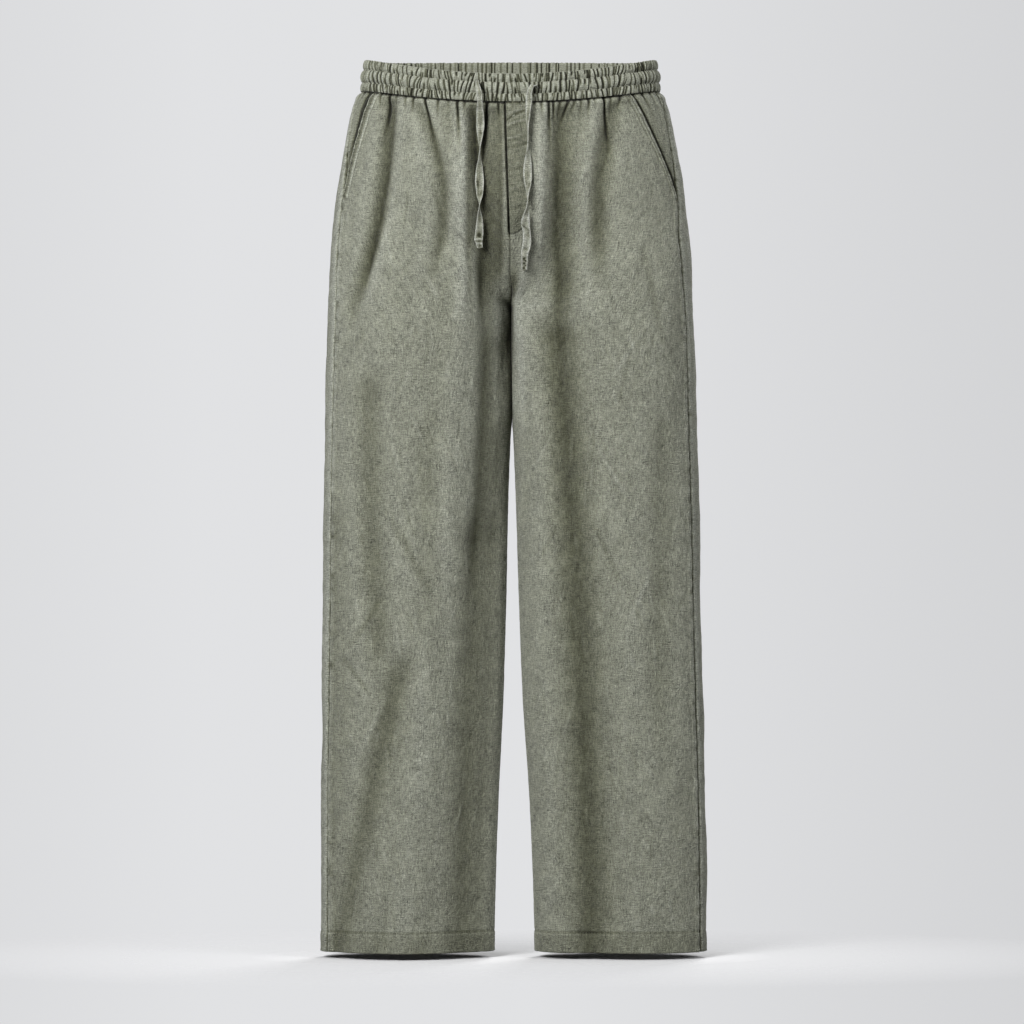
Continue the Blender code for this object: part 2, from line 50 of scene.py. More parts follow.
# ---------------------------------------------------------------- the garment's sizes
WAIST = 0.0187             # drop of the waist seam at the sides
FORK_TOP = 0.130           # where the rise curves begin to swing in
CROTCH = 0.270             # drop of the crotch point
MIDDLE_TOP = 0.110         # the panels' middles turn from body to leg between these drops
MIDDLE_BOTTOM = 0.310
EDGE_REACH = 0.085         # how far the rise curves' shape reaches into a panel, in u
HEM = 1.029                # drop of the hem's edge
HEM_DEPTH = 0.024          # turned-up hem
FRONT_DIP = -0.0190        # the waist seam at centre front, against the sides
BACK_RISE = 0.0062         # the same at centre back
TILT_END = 0.200           # the panels' rows are level from this drop on
SEAM_U = 0.0005            # half of the gap between two panels at a seam, in u
LEDGE = 0.0004             # clearance between a piece and the panel that it lies on
LAYER = 0.0012             # how much one layer of cloth raises the next

POCKET_TOP = {-1: 0.365, 1: 0.293}     # u of the slanted pocket edges at the waist seam
POCKET_BOTTOM = 0.147
POCKET_BEND = {-1: 1.5, 1: 1.22}       # how late the pocket edges swing out to the side seams
FACING_INSET = 0.0021      # depth of the facing's face under the front panel's face
FACING_RISE = 0.045        # share of u in which the facing comes up to the side seam's level
FACING_END = 0.144
FACING_LAP = 0.020         # how far a facing reaches in under the front panel, in u
FACING_NOTCHES = ((0.50, 0.0026, 0.014), (0.76, 0.0016, 0.007))  # share across, depth, length
POCKET_END = {-1: (0.0030, 0.1560), 1: (0.0034, 0.1480)}  # inset and drop of the bar's painted dark marks
POCKET_BAR_COLUMNS = {-1: 6.0, 1: 4.0}  # and of the bar's thread, as columns from the edge

FLY_WIDTH = 0.021
FLY_LEAD = 0.0050          # how far the fly's free edge passes centre front at the top
FRONT_LEAN = 0.0022        # how far centre front lies to the wearer's right
FLY_CURVE = 0.160
FLY_END = 0.190
FLY_NOTCHES = ((0.0021, 0.0010, 0.006), (0.0141, 0.0012, 0.008))  # place, depth, length

BAND_HALF_HEIGHT = 0.0181  # at the sides
BAND_FRONT_HALF_HEIGHT = 0.0161

WEARER = {-1: "right", 1: "left"}

# Half-widths to the wearer's right and left, and half-depths to the front and back: the
# body's at the middle, and the legs' at the middle of each leg.
Section = namedtuple("Section", "drop right left front back leg_front leg_back")
SECTIONS = in_mm(Section, (
    (0, 178, 174.5, 95.5, 96.5, 83, 85),
    (19, 179, 175.5, 96, 98, 83.5, 86),
    (27, 183.2, 179.8, 97, 100, 84, 88),
    (40, 188.5, 185, 98, 103, 85, 90),
    (62, 193, 190, 100, 107, 87, 93),
    (86, 198, 194.5, 102, 111, 89, 96),
    (120, 203, 200.2, 104, 115, 90, 99),
    (160, 208.8, 205.5, 105, 118, 91, 101),
    (215, 214.5, 211, 104.5, 118.5, 91, 101),
    (265, 216.8, 213.5, 103, 116, 89.5, 98),
    (330, 219, 215.8, 101, 112, 86, 93),
    (400, 220.3, 217.5, 100, 110, 81, 87),
    (500, 221.5, 220.3, 100, 110, 74, 80),
    (620, 222.6, 222.6, 100, 110, 67, 73),
    (740, 223.8, 225.5, 100, 110, 61, 68),
    (860, 225, 228.2, 100, 110, 56.5, 63),
    (1029, 225, 229.8, 100, 110, 52, 58),
))

# Distance of each leg's inner edge from the middle.
Gap = namedtuple("Gap", "drop right left")
LEG_GAPS = in_mm(Gap, (
    (100, 0.8, 0.8),
    (401, 0.8, 0.8),
    (430, 2.2, 2.2),
    (499, 4.7, 4.9),
    (617, 7.1, 8.5),
    (735, 10.6, 13.2),
    (852, 16.2, 21),
    (970, 20, 25.8),
    (1029, 21.2, 27.2),
))

# Where the side seams run, as u.
SideSeam = namedtuple("SideSeam", "drop right left")
SIDE_SEAMS = in_mm(SideSeam, (
    (0, 0.4450, 0.4120),
    (19, 0.4450, 0.4120),
    (147, 0.4140, 0.4060),
    (185, 0.4190, 0.4000),
    (235, 0.4240, 0.4150),
    (300, 0.4275, 0.4285),
    (400, 0.4310, 0.4290),
    (500, 0.4340, 0.4300),
    (1029, 0.4370, 0.4350),
), "right left")

# Long folds of each side (-1 right, 1 left) and face: the drops and distances from the middle of
# both ends, how far the fold bows outwards halfway, the half-widths towards and away from the
# middle, the depth, and how dark its trough is painted, as painted shade. A ridge has a negative
# depth.
Fold = namedtuple("Fold", "top x_top bottom x_bottom bow inner outer depth dark")
FOLDS = {
    (-1, "front"): in_mm(Fold, (
        (-30, 144, 312, 196, -18.5, 8, 12, 8.5, 1.30),
        (-30, 152.9, 272, 106.2, -46.8, 8, 10, 4.4, 0.58),
        (-10, 78, 160, 72, 0, 13, 11, 0.8, 0.48),
        (-40, 64, 105, 60, 0, 9, 12, 2.2, 0.80),
        (-20, 60.5, 340, 59, 0, 7, 11, -3, 0.00),
        (-30, 50, 325, 27.2, 0, 30, 8.5, 13, 1.36),
        (40, 50.8, 280, 48.6, 0, 7, 4, 2.8, 1.20),
        (275, 22.2, 640, 39.3, 0, 36, 12, 7.5, 0.98),
        (495, 30.2, 1140, 61, 0, 45, 25, 9.2, 0.98),
        (190, 50, 1140, 145, -4, 20, 18, -3.6, 0.00),
        (330, 168, 740, 150, 6, 20, 17, 5, 0.55),
        (380, 100, 760, 86, 0, 16, 16, 2.4, 0.15),
        (660, 124, 1120, 227, 0, 19, 17, 5.6, 0.72),
        (470, 212, 1300, 215, 0, 22, 30, 0.4, 0.50),
    ), "dark"),
    (1, "front"): in_mm(Fold, (
        (-20, 34, 310, 27, 3, 9, 6, -3.4, 0.00),
        (-30, 60.5, 345, 49, 0, 10.5, 24, 10, 1.25),
        (-20, 82, 110, 84, 0, 6, 8, 3.6, 0.55),
        (-30, 139.5, 275, 103, -16.5, 12, 14, 7, 1.05),
        (262, 47.2, 1160, 93.5, 10.6, 24, 52, 9.8, 1.48),
        (188, 15, 390, 18, 0, 9, 14, -7.2, 0.00),
        (240, 26, 1060, 48, 0, 13, 13, -2.2, 0.00),
        (380, 176, 820, 172, 0, 17, 17, 3.4, 0.25),
    ), "dark"),
    (-1, "back"): in_mm(Fold, (
        (-30, 36, 210, 42, 0, 12, 12, 6, 0.28),
        (-30, 82, 300, 94, 0, 12, 18, 8.5, 0.40),
        (-30, 127, 240, 146, 0, 11, 11, 7, 0.33),
        (210, 56, 520, 120, 0, 18, 18, 8.5, 0.40),
        (280, 92, 1100, 104, 6, 24, 24, -5, 0.00),
        (420, 150, 980, 138, 0, 20, 20, 6, 0.28),
        (440, 50, 1060, 60, 8, 15, 24, 7, 0.33),
    ), "dark"),
    (1, "back"): in_mm(Fold, (
        (-30, 30, 190, 34, 0, 11, 11, 5.4, 0.26),
        (-30, 71, 320, 84, 0, 12, 19, 9, 0.43),
        (-20, 118, 230, 134, 0, 11, 11, 6, 0.28),
        (220, 62, 500, 128, 0, 18, 18, 8, 0.38),
        (260, 88, 1100, 112, 0, 24, 24, -5, 0.00),
        (400, 150, 940, 160, -8, 17, 17, 6, 0.28),
        (460, 74, 1060, 76, 6, 18, 26, 8, 0.38),
    ), "dark"),
}
FOLD_RAMP = 0.055          # a fold deepens over this length from its upper end
FOLD_FADE = 0.105          # and fades out over this length at its lower end
SHADED = (0.024, 0.023)    # a fold's painted shade is no wider than this, towards the middle and away
SEAM_CALM = 0.013          # folds flatten this near a seam
INSEAM_CALM = 0.020        # and this much sooner along the inseams

# ---------------------------------------------------------------- gathers, creases and puckers
# Gathers under the waistband of each front: the distance from the middle at the waist seam, how
# far the gather drifts outwards for each metre down, its depth, and the length in which it dies
# out.
Gather = namedtuple("Gather", "x drift depth length")
FRONT_GATHERS = {
    -1: in_mm(Gather, (
        (9, 0.02, 1.2, 7),
        (14.6, -0.04, 1.7, 13),
        (28.6, 0.10, 3, 46),
        (37.5, 0.05, 1.4, 8),
        (55.2, 0.00, 1.7, 10),
        (64, -0.06, 3, 52),
        (74.5, -0.05, 1, 7),
        (86, 0.05, 1.9, 12),
        (102, -0.20, 3.6, 40),
        (114.6, 0.10, 1.8, 14),
        (123.8, 0.05, 1.8, 10),
        (134.5, 0.12, 1.5, 9),
        (143.6, 0.16, 3.4, 34),
        (153, 0.20, 1.6, 12),
    ), "drift"),
    1: in_mm(Gather, (
        (26.2, 0.03, 1.4, 8),
        (34, 0.06, 1.8, 14),
        (42.8, 0.03, 3.4, 44),
        (47.8, 0.05, 2.8, 22),
        (56, -0.10, 1.4, 12),
        (66, -0.30, 2.2, 18),
        (73.6, -0.26, 1.6, 10),
        (80, 0.05, 1.6, 10),
        (89.4, 0.00, 2.6, 12),
        (96, 0.06, 1.2, 7),
        (107.5, 0.12, 3.8, 46),
        (115, 0.10, 1.4, 10),
        (127.2, -0.14, 2.6, 8),
        (136, 0.10, 1.2, 9),
    ), "drift"),
}
BACK_GATHERS = 17          # gathers on each back panel, spaced unevenly
LONG_SHARE = 0.3           # share of them that are long
LONG_GATHER = ((0.0026, 0.0040), (0.026, 0.050))       # the ranges of their depths and lengths
SHORT_GATHER = ((0.0012, 0.0023), (0.008, 0.016))
GATHER_WIDTH = 0.0021      # half-width of a gather at the waist seam
GATHER_SPREAD = 0.060      # how much wider it grows for each metre down
PUFF = 0.0013              # how far the cloth between the gathers stands out
PINCH = 0.0026             # how far the seam under the band draws the cloth in
PINCH_LENGTH = 0.0019
FLAT_BY_FLY = {-1: 0.0066, 1: 0.0235}  # no gathers nearer to the middle than this

# Short creases that show singly: the place, the lean outwards for each metre down, the length,
# the half-width and the depth. A negative depth is a ridge.
Crease = namedtuple("Crease", "x drop lean length width depth")
CREASES = {
    (-1, "front"): in_mm(Crease, (
        (150, 175, 0.25, 90, 4, 1),
        (88, 150, -0.30, 70, 3.5, 0.9),
        (94, 250, -0.55, 50, 3, -0.8),
        (170, 640, 0.60, 60, 3.4, 1),
        (182, 705, -0.70, 50, 3.4, 1),
        (162, 760, 0.45, 80, 3.6, -1),
        (120, 560, -0.50, 110, 6, 1.2),
    ), "lean"),
    (1, "front"): in_mm(Crease, (
        (118, 470, 0.62, 60, 2, -0.9),
        (134, 330, -0.62, 50, 2.4, -0.7),
        (110, 560, 0.50, 80, 3, 0.8),
        (164, 260, 0.20, 120, 5, 1.2),
        (150, 610, -0.45, 60, 3, -0.8),
    ), "lean"),
    (-1, "back"): in_mm(Crease, (
        (90, 300, 0.70, 80, 4, 1.2),
        (110, 620, -0.60, 70, 3.4, -1),
        (150, 480, 0.50, 90, 4, 1),
    ), "lean"),
    (1, "back"): in_mm(Crease, (
        (80, 280, 0.75, 90, 4, 1.2),
        (130, 560, -0.60, 60, 3, -1),
        (105, 740, 0.55, 80, 3.6, 1),
    ), "lean"),
}
# Creases across the fly: the drop at centre front, how much they rise for each metre to the
# wearer's left, and how they bend.
FlyCrease = namedtuple("FlyCrease", "drop rise bend width depth")
FLY_CREASES = in_mm(FlyCrease, (
    (38, 0.72, -9.0, 1.6, 1.2),
    (32, 0.50, -16.0, 1.3, -0.7),
    (25, 0.20, 18.0, 1.2, 0.6),
    (46, 0.50, -12.0, 2, -0.8),
    (64, 0.30, 6.0, 2.6, -0.8),
    (76, 0.10, 10.0, 3, 1),
    (108, 0.30, -6.0, 3.4, 0.7),
    (135, 0.60, 0.0, 3, -0.6),
    (162, 0.40, 0.0, 3, 0.7),
), "rise bend")
SMALL_CREASES = 170        # washed-in creases on each panel, placed unevenly
PUCKER_REACH = 0.0065      # the seams pucker the cloth this far in
INSEAM_PUCKER = 0.0003     # height of the puckers
SIDE_PUCKER = {"front": 0.0013, "back": 0.0014}

# How much darker or paler the cloth is painted, as steps of its painted_shade_and_marks value:
# mostly painted shade, and painted highlights where it is pale.
CREASE_SHADE = 150.0       # painted shade in creases, for each metre of a crease's depth
FLY_EDGE_DARK = 800.0      # painted shade, the same for the groove along the fly's edge
FLY_SIDE_DARK = 1.3        # painted shade on the cloth beside that edge
# painted shade in the gathers, in a line under the band, and along the middle seams
GATHER_DARK = 1.7
UNDER_BAND_DARK = 2.4
MIDDLE_SEAM_DARK = 0.6
# painted shade along the side seams, and painted highlights on the turnings beside them
SIDE_SEAM_DARK, SIDE_SEAM_PALE = 1.8, 0.7
# painted shade in the puckers by the side seams
PUCKER_DARK = 3.6
BACK_SIDE_PALE = {-1: 0.9, 1: 0.5}     # painted light on the backs by their side seams
# painted shade where the legs meet, and painted light beside it
CROTCH_DARK, CROTCH_PALE = 2.2, 0.9
# painted highlights on a pocket's edge and on the lumps along it
POCKET_EDGE_PALE, POCKET_LUMP_PALE = 1.3, 3.2
POCKET_STRIP_DARK = {-1: 1.55, 1: 0.40}  # painted shade between a pocket's edge and its stitches
# painted shade along a pocket's rows of stitches, and painted dark marks for the bar at its end
POCKET_STITCH_DARK, POCKET_BAR_DARK = 0.8, 2.6
FACING_DARK = 2.8          # painted shade in a facing's notches, and painted shadow where the front panel lies over it
# the hem painted darker all over, and painted shade in its row of stitches
HEM_DARK, HEM_STITCH_DARK = 0.62, 0.8
HEM_CALM = 0.45            # share by which other shades are weaker in the hem
TURNED_DARK = 2.4          # painted shade on what is turned in at seams and hems

# Soft unevenness of the panels: height, and width and length of its lumps.
BROAD_LUMPS = (0.0014, 0.045, 0.090)
FINE_LUMPS = (0.00042, 0.008, 0.012)

# ---------------------------------------------------------------- grids
COLUMNS = {"front": 300, "back": 210}
HEM_ROWS = 12              # the last rows of a panel, at and past the hem's edge
FACING_ROWS, FACING_COLUMNS = 62, 80
FLY_ROWS, FLY_COLUMNS = 150, 34
RowBand = namedtuple("RowBand", "top bottom count")
PANEL_ROWS = table(RowBand, (
    (WAIST, 0.0500, 34),
    (0.0500, 0.1500, 48),
    (0.1500, HEM - 0.0300, 208),
    (HEM - 0.0300, HEM, 18),
))
TUCKS = (0.0046, 0.0021)   # depths of the steps in which a seam's edge turns in
TUCK_RISES = (0.0014, 0.0012)          # and how far those at the waist rise inside the band
POCKET_ROWS = {-1: (0.0045, 0.0120), 1: (0.0046, 0.0088)}  # rows of stitches by its edge
POCKET_TUCK = 0.25         # share of those depths at the pocket's edge, over the facing

# ---------------------------------------------------------------- the waistband
Channel = namedtuple("Channel", "bottom top out_bottom out_top belly pitch rib")
# Heights from -1 to 1, stand-outs, bulge, rib pitch and rib height.
CHANNELS = in_mm(Channel, (
    (-1.00, -0.43, -0.1, -1.2, 1, 3.7, 1.9),
    (-0.43, 0.41, -1.6, -3.4, 2.8, 4.6, 2.5),
    (0.41, 1.00, -3.6, -4.4, 1.4, 3.8, 2),
), "bottom top")
CHANNEL_ROWS = (12, 17, 13)
BAND_COLUMNS = 1500
BAND_INSIDE_TOP = -0.0072
BAND_INSIDE_BOTTOM = -0.0052
BAND_INSIDE_ROWS = 13
BAND_INSIDE_RIB = 0.0018
BAND_INSIDE_PITCH = 0.0056

# Buttonholes in the band, where the drawstring comes out: the place, the direction of the slot
# and its half-length and half-width.
Hole = namedtuple("Hole", "x z lean long wide")
HOLES = in_mm(Hole, (
    (-36.6, -20, (0.55, -0.835), 4.4, 1.3),
    (26.4, -25, (0.10, -0.995), 3.6, 2.2),
    (32.2, -20, (0.20, -0.980), 2.6, 1.3),
), "lean")
HOLE_DEPTH = 0.0026

# Lengths from one stitch to the next.
HEM_STITCH, POCKET_STITCH, FLY_STITCH = 0.0034, 0.0033, 0.0024

# ---------------------------------------------------------------- the drawstring
TapePoint = namedtuple("TapePoint", "x y z half turn")
TAPE_RIGHT = in_mm(TapePoint, (
    (-40, -96.5, -13.2, 1.6, 0),
    (-40.2, -100.4, -16, 2, 0),
    (-38.9, -102.6, -22.2, 2.7, 0),
    (-37.8, -103.4, -28.5, 3.1, 0),
    (-37.3, -103.4, -36.1, 3, 2),
    (-37, -96.2, -50, 4.2, 8),
    (-36.7, -93.8, -64, 4.9, 14),
    (-37, -93.8, -78, 4.2, 44),
    (-37.3, -94.3, -92.5, 3, 86),
    (-37.3, -94.6, -103, 3.2, 114),
    (-37.6, -94.8, -115, 4.2, 158),
    (-37.7, -94.8, -129, 5.1, 178),
    (-37.4, -94.5, -144, 4.4, 206),
    (-37.7, -93.6, -157, 3, 266),
    (-37.7, -92.4, -166, 3.2, 304),
    (-37.5, -90.2, -176, 4, 342),
    (-38, -86.8, -190, 4.8, 356),
    (-38.8, -85.2, -196.5, 5, 360),
    (-38, -83.8, -201, 3.8, 362),
    (-37.2, -82, -206.2, 3.4, 364),
), "turn")
TAPE_LEFT = in_mm(TapePoint, (
    (28.6, -96.6, -21.6, 1.8, 0),
    (27, -101.4, -19.2, 2, 0),
    (24, -103.6, -19.6, 2.4, 0),
    (21, -104, -24.6, 2.8, 0),
    (19.8, -103.8, -30, 3, 0),
    (19.6, -103.6, -36.1, 3.6, 4),
    (18.8, -104.2, -47, 3.6, 34),
    (18.4, -105.6, -58, 3.4, 56),
    (18.3, -106.8, -70, 3, 76),
    (18.3, -107.5, -86, 2.9, 90),
    (18.6, -108, -96, 3.6, 122),
    (18.4, -108.2, -107.5, 4.4, 158),
    (18, -108.7, -119.5, 5, 178),
    (18.4, -109.4, -133, 4.4, 206),
    (18.2, -110.3, -143, 3.4, 240),
    (18, -110.5, -152.5, 2.6, 270),
    (17.8, -109.5, -160, 2.8, 292),
    (16.6, -107.9, -169, 4, 332),
    (15.4, -105.2, -179, 5.3, 352),
    (16.6, -102.4, -186, 4.5, 358),
    (17.5, -99, -196.5, 4.8, 362),
    (16.5, -96, -206.2, 5, 366),
    (14.7, -93.7, -213, 4.4, 370),
    (14.6, -90.6, -221, 3.8, 366),
    (14.4, -85.2, -232.5, 3.2, 360),
), "turn")
# Tucks, creases and stitches on the tapes: the distance from the tape's middle, the height, the
# half-width and half-height, the lean, and how dark they are painted: painted shade in the tucks
# and creases, the dark of the thread at the stitched end, and painted highlights where the value is
# below 0. Pale ones stand up.
TapeMark = namedtuple("TapeMark", "x z wide long lean dark")
MARKS_RIGHT = in_mm(TapeMark, (
    (1.6, -61, 1.3, 5, 0.1, 0.7),
    (0.8, -74, 1.4, 3, -0.4, 1.0),
    (-2.4, -133, 0.7, 17, -0.02, 1.7),
    (2, -143, 1, 4, 0.4, 1.2),
    (0.2, -191.5, 2.6, 2.8, 0.0, 2.2),
    (0, -196.2, 6, 0.9, 0.1, -1.4),
    (1, -198.8, 4, 0.7, 0.1, 1.8),
    (0, -201.2, 6, 0.8, 0.2, -1.2),
    (0.6, -204, 2, 1.2, 0.0, 1.4),
), "lean dark")
MARKS_LEFT = in_mm(TapeMark, (
    (1.4, -44, 1.6, 10, 0.05, 0.9),
    (-2, -98.5, 0.9, 2.6, 0.2, 2.0),
    (-2.6, -127, 0.7, 13, -0.03, 2.0),
    (2, -135, 1.2, 4, 0.4, 1.4),
    (-1.2, -183.5, 0.9, 3.4, -1.1, 2.2),
    (1.4, -192, 1.4, 5, 0.1, 0.9),
    (-0.6, -208.5, 2.6, 1.2, 0.2, 1.6),
    (-1, -219, 1.2, 1.2, 0.6, 4.2),
    (1, -221.5, 1.1, 1.2, -0.5, 4.2),
    (-0.8, -224.5, 1.4, 1, 0.3, 4.2),
    (1.2, -227.5, 1, 1.2, 0.8, 4.0),
    (-1, -230, 1.3, 1, -0.4, 4.0),
), "lean dark")
TAPE_STEPS = 9
TAPE_SIDES = 20
TAPE_THICK = 0.0015

# ---------------------------------------------------------------- the view
CAMERA_DISTANCE = 5.75
CAMERA_HEIGHT = -0.513
FRAME_WIDTH = 1.2063       # the width of the picture at the garment
SENSOR = 0.036
FLOOR_DROP = 1.037

LINEN_COLOUR = (0.247, 0.256, 0.207)
TAPE_COLOUR = (0.340, 0.350, 0.306)
THREAD_COLOUR = (0.150, 0.156, 0.120)
FLOOR_COLOUR = (0.68, 0.68, 0.69, 1.0)
BACKGROUND = (0.752, 0.758, 0.772)
# A painted pool of light on the background: its brightness across the picture, by the share of its
# width.
GLOW = ((0.00, 0.93), (1.00, 0.84), (0.25, 1.03), (0.55, 1.02))
AMBIENT = 0.17             # strength of the background as a light

Lamp = namedtuple("Lamp", "name place target size power")
LAMPS = table(Lamp, (
    ("key", (-1.52, -2.45, 0.90), (0.0, 0.0, -0.45), 1.3, 131.0),
    ("fill", (2.3, -1.6, 0.50), (0.0, 0.0, -0.45), 1.2, 38.0),
    ("top", (-0.2, -0.5, 2.2), (0.0, 0.0, -0.5), 1.4, 13.0),
    ("back", (1.1, 3.0, 0.9), (0.0, 0.0, -0.4), 1.6, 105.0),
))

# Crinkle lines in the linen: the way they turn from the warp, their length and the noise's seed.
Strand = namedtuple("Strand", "turn long seed")
STRANDS = table(Strand, (
    (0.04, 0.0100, 10.0),
    (0.42, 0.0070, 20.0),
    (-0.46, 0.0070, 30.0),
    (1.45, 0.0050, 40.0),
))


# ================================================================ curves and form
class Curve:
    """A smooth curve through one column of a table, read at an array of keys."""

    def __init__(self, keys, values):
        self.keys = np.array(keys, dtype=float)
        self.values = np.array(values, dtype=float)
        rises = np.diff(self.values) / np.diff(self.keys)
        slopes = [rises[0]]
        for before, after in zip(rises, rises[1:]):
            flat = before * after <= 0.0
            slopes.append(0.0 if flat else 2.0 * before * after / (before + after))
        self.slopes = np.array(slopes + [rises[-1]])

    def at(self, key):
        """The curve's value, held level past both ends."""
        key = np.clip(key, self.keys[0], self.keys[-1])
        k = np.clip(np.searchsorted(self.keys, key, side="right") - 1, 0, len(self.keys) - 2)
        span = self.keys[k + 1] - self.keys[k]
        t = (key - self.keys[k]) / span
        return (self.values[k] * (1.0 + 2.0 * t) * (1.0 - t) ** 2
                + self.slopes[k] * span * t * (1.0 - t) ** 2
                + self.values[k + 1] * t * t * (3.0 - 2.0 * t)
                + self.slopes[k + 1] * span * t * t * (t - 1.0))


def curves(rows, names=None):
    """A curve for each column of a table past the first, by the column's name."""
    return {name: Curve([row[0] for row in rows], [row[k] for row in rows])
            for k, name in enumerate(names or rows[0]._fields[1:], 1)}


BODY = curves(SECTIONS)
GAPS = curves(LEG_GAPS)
SEAM_LINES = curves(SIDE_SEAMS)


def smooth(t):
    """A soft step from 0 to 1."""
    t = np.clip(t, 0.0, 1.0)
    return t * t * (3.0 - 2.0 * t)


def bell(away, width, power=2):
    """1 at the middle, falling off on both sides. A higher power has a flatter top."""
    return np.exp(-(away / width) ** power)


def leg_share(u, drop):
    """0 where the section is the body's, 1 where it is a leg's."""
    t = np.clip((drop - FORK_TOP) / (CROTCH - FORK_TOP), 0.0, 1.0)
    at_edge = 1.0 - np.sqrt(1.0 - t * t)
    at_middle = smooth((drop - MIDDLE_TOP) / (MIDDLE_BOTTOM - MIDDLE_TOP))
    nearness = bell(np.minimum(np.abs(u), np.abs(1.0 - u)), EDGE_REACH)
    return at_middle + (at_edge - at_middle) * nearness


def tilt(u, front, back):
    """A height that goes from front, at centre front, through 0 at the side to back."""
    across = np.cos(math.pi * u)
    return np.where(across > 0.0, front, back) * across * across


def form(side, u, drop):
    """Points on the smooth outside of the garment, before gathers and folds."""
    u, drop = np.broadcast_arrays(np.asarray(u, dtype=float), np.asarray(drop, dtype=float))
    half = BODY[WEARER[side]].at(drop)
    gap = GAPS[WEARER[side]].at(drop)
    share = leg_share(u, drop)
    turn = math.pi * u
    body_depth = np.where(np.cos(turn) > 0.0, BODY["front"].at(drop), BODY["back"].at(drop))
    leg_depth = np.where(np.sin(2.0 * turn) > 0.0,
                         BODY["leg_front"].at(drop), BODY["leg_back"].at(drop))
    leg_x = gap + 0.5 * (half - gap) * (1.0 - np.cos(2.0 * turn))
    fade = 1.0 - smooth((drop - WAIST) / (TILT_END - WAIST))
    x = (1.0 - share) * half * np.sin(turn) + share * leg_x
    y = -(1.0 - share) * body_depth * np.cos(turn) - share * leg_depth * np.sin(2.0 * turn)
    return np.stack([side * x, y, -drop + fade * tilt(u, FRONT_DIP, BACK_RISE)], axis=-1)


def outward(side, u, drop):
    """The level directions that point out of the cloth."""
    step = 0.002
    along = form(side, u + step, drop) - form(side, u - step, drop)
    away = np.stack([side * along[..., 1], -side * along[..., 0], 0.0 * along[..., 0]], axis=-1)
    return away / np.linalg.norm(away, axis=-1, keepdims=True)


def pocket_edge(side, drop):
    """u of the slanted pocket edge, which meets the side seam at its lower end."""
    t = np.minimum((drop - WAIST) / (POCKET_BOTTOM - WAIST), 1.0)
    start = POCKET_TOP[side]
    swing = np.maximum(t, 0.0) ** POCKET_BEND[side]
    return start + (SEAM_LINES[WEARER[side]].at(drop) - start) * swing


def panel_span(side, face, drop):
    """u at both edges of a front or back panel."""
    if face == "front":
        return SEAM_U + 0.0 * drop, pocket_edge(side, drop) - SEAM_U
    return SEAM_LINES[WEARER[side]].at(drop) + SEAM_U, 1.0 - SEAM_U + 0.0 * drop


def way_along(points):
    """The length of the way along each row, at each of its points."""
    steps = np.linalg.norm(np.diff(points, axis=1), axis=2)
    return np.concatenate([np.zeros((len(points), 1)), np.cumsum(steps, axis=1)], axis=1)


def lay_out(side, u, drop):
    """Rows of the smooth form: their drops, points, outward directions and the ways along them
    from the first edge and from the last."""
    drops = np.broadcast_to(drop[:, None], u.shape)
    base = form(side, u, drops)
    run = way_along(base)
    return drops, base, outward(side, u, drops), run, run[:, -1:] - run


def press_legs(side, points, away, drop):
    """Closes the legs' cloth up where it meets, from the rise down to where the legs part. It
    meets along a wavy line, as pressed cloth does."""
    near = smooth((drop - 0.100) / 0.03) * smooth((0.418 - drop) / 0.03)
    near = near * smooth(-1.5 * side * away[..., 0])
    x = side * points[..., 0]
    meet = side * 0.0012 * np.sin(points[..., 1] / 0.015 + drop / 0.05)
    x = np.maximum(x - near * 0.0030 * bell(x, 0.012), near * meet + 0.00012)
    points[..., 0] = side * x
    return points


def grain_way(u, run, middle):
    """The distance across the cloth from the grain line down its middle."""
    start = [np.interp(middle, places, ways) for places, ways in zip(u, run)]
    return run - np.array(start)[:, None]


def rumple(run, drop, across, along, seed, octaves=2):
    """Soft uneven relief from about -1 to 1; across and along are the sizes of its lumps."""
    spots = np.stack([run / across, drop / along, np.full(run.shape, seed * 7.31)], axis=-1)
    values = [noise.fractal(spot, 1.0, 2.0, octaves) for spot in spots.reshape(-1, 3).tolist()]
    return np.array(values).reshape(run.shape)


# ================================================================ meshes
def new_piece(name, bm, finish, crisp=None):
    """An object for one finished piece, shaded smooth, at the origin."""
    mesh = bpy.data.meshes.new(name)
    bm.to_mesh(mesh)
    bm.free()
    mesh.shade_smooth()
    if crisp is not None:
        mesh.set_sharp_from_angle(angle=math.radians(crisp))
    mesh.materials.append(finish)
    piece = bpy.data.objects.new(name, mesh)
    bpy.context.collection.objects.link(piece)
    return piece


def lay_grid(name, points, flat, painted_shade_and_marks, finish, flip=False):
    """A piece made from a grid of cells whose corners are moved to the given rows of points.

    flat gives each corner's place on the flat cloth, and painted_shade_and_marks how dark it is
    painted: mostly painted shade, painted highlights below 0, and a few painted stitch marks.
    """
    rows, columns = points.shape[:2]
    bm = bmesh.new()
    bmesh.ops.create_grid(bm, x_segments=columns - 1, y_segments=rows - 1, size=0.5)
    piece = new_piece(name, bm, finish)
    mesh = piece.data
    spots = np.empty(3 * len(mesh.vertices))
    mesh.vertices.foreach_get("co", spots)
    spots = spots.reshape(-1, 3)
    column = np.rint((spots[:, 0] + 0.5) * (columns - 1)).astype(int)
    row = np.rint((0.5 - spots[:, 1]) * (rows - 1)).astype(int)
    mesh.vertices.foreach_set("co", points[row, column].ravel())
    shade = mesh.attributes.new("painted_shade_and_marks", "FLOAT", "POINT")
    shade.data.foreach_set("value", painted_shade_and_marks[row, column])
    corners = np.empty(len(mesh.loops), dtype=int)
    mesh.loops.foreach_get("vertex_index", corners)
    layer = mesh.uv_layers.new(name="cloth")
    layer.data.foreach_set("uv", flat[row, column][corners].ravel())
    if flip:
        mesh.flip_normals()
    return piece


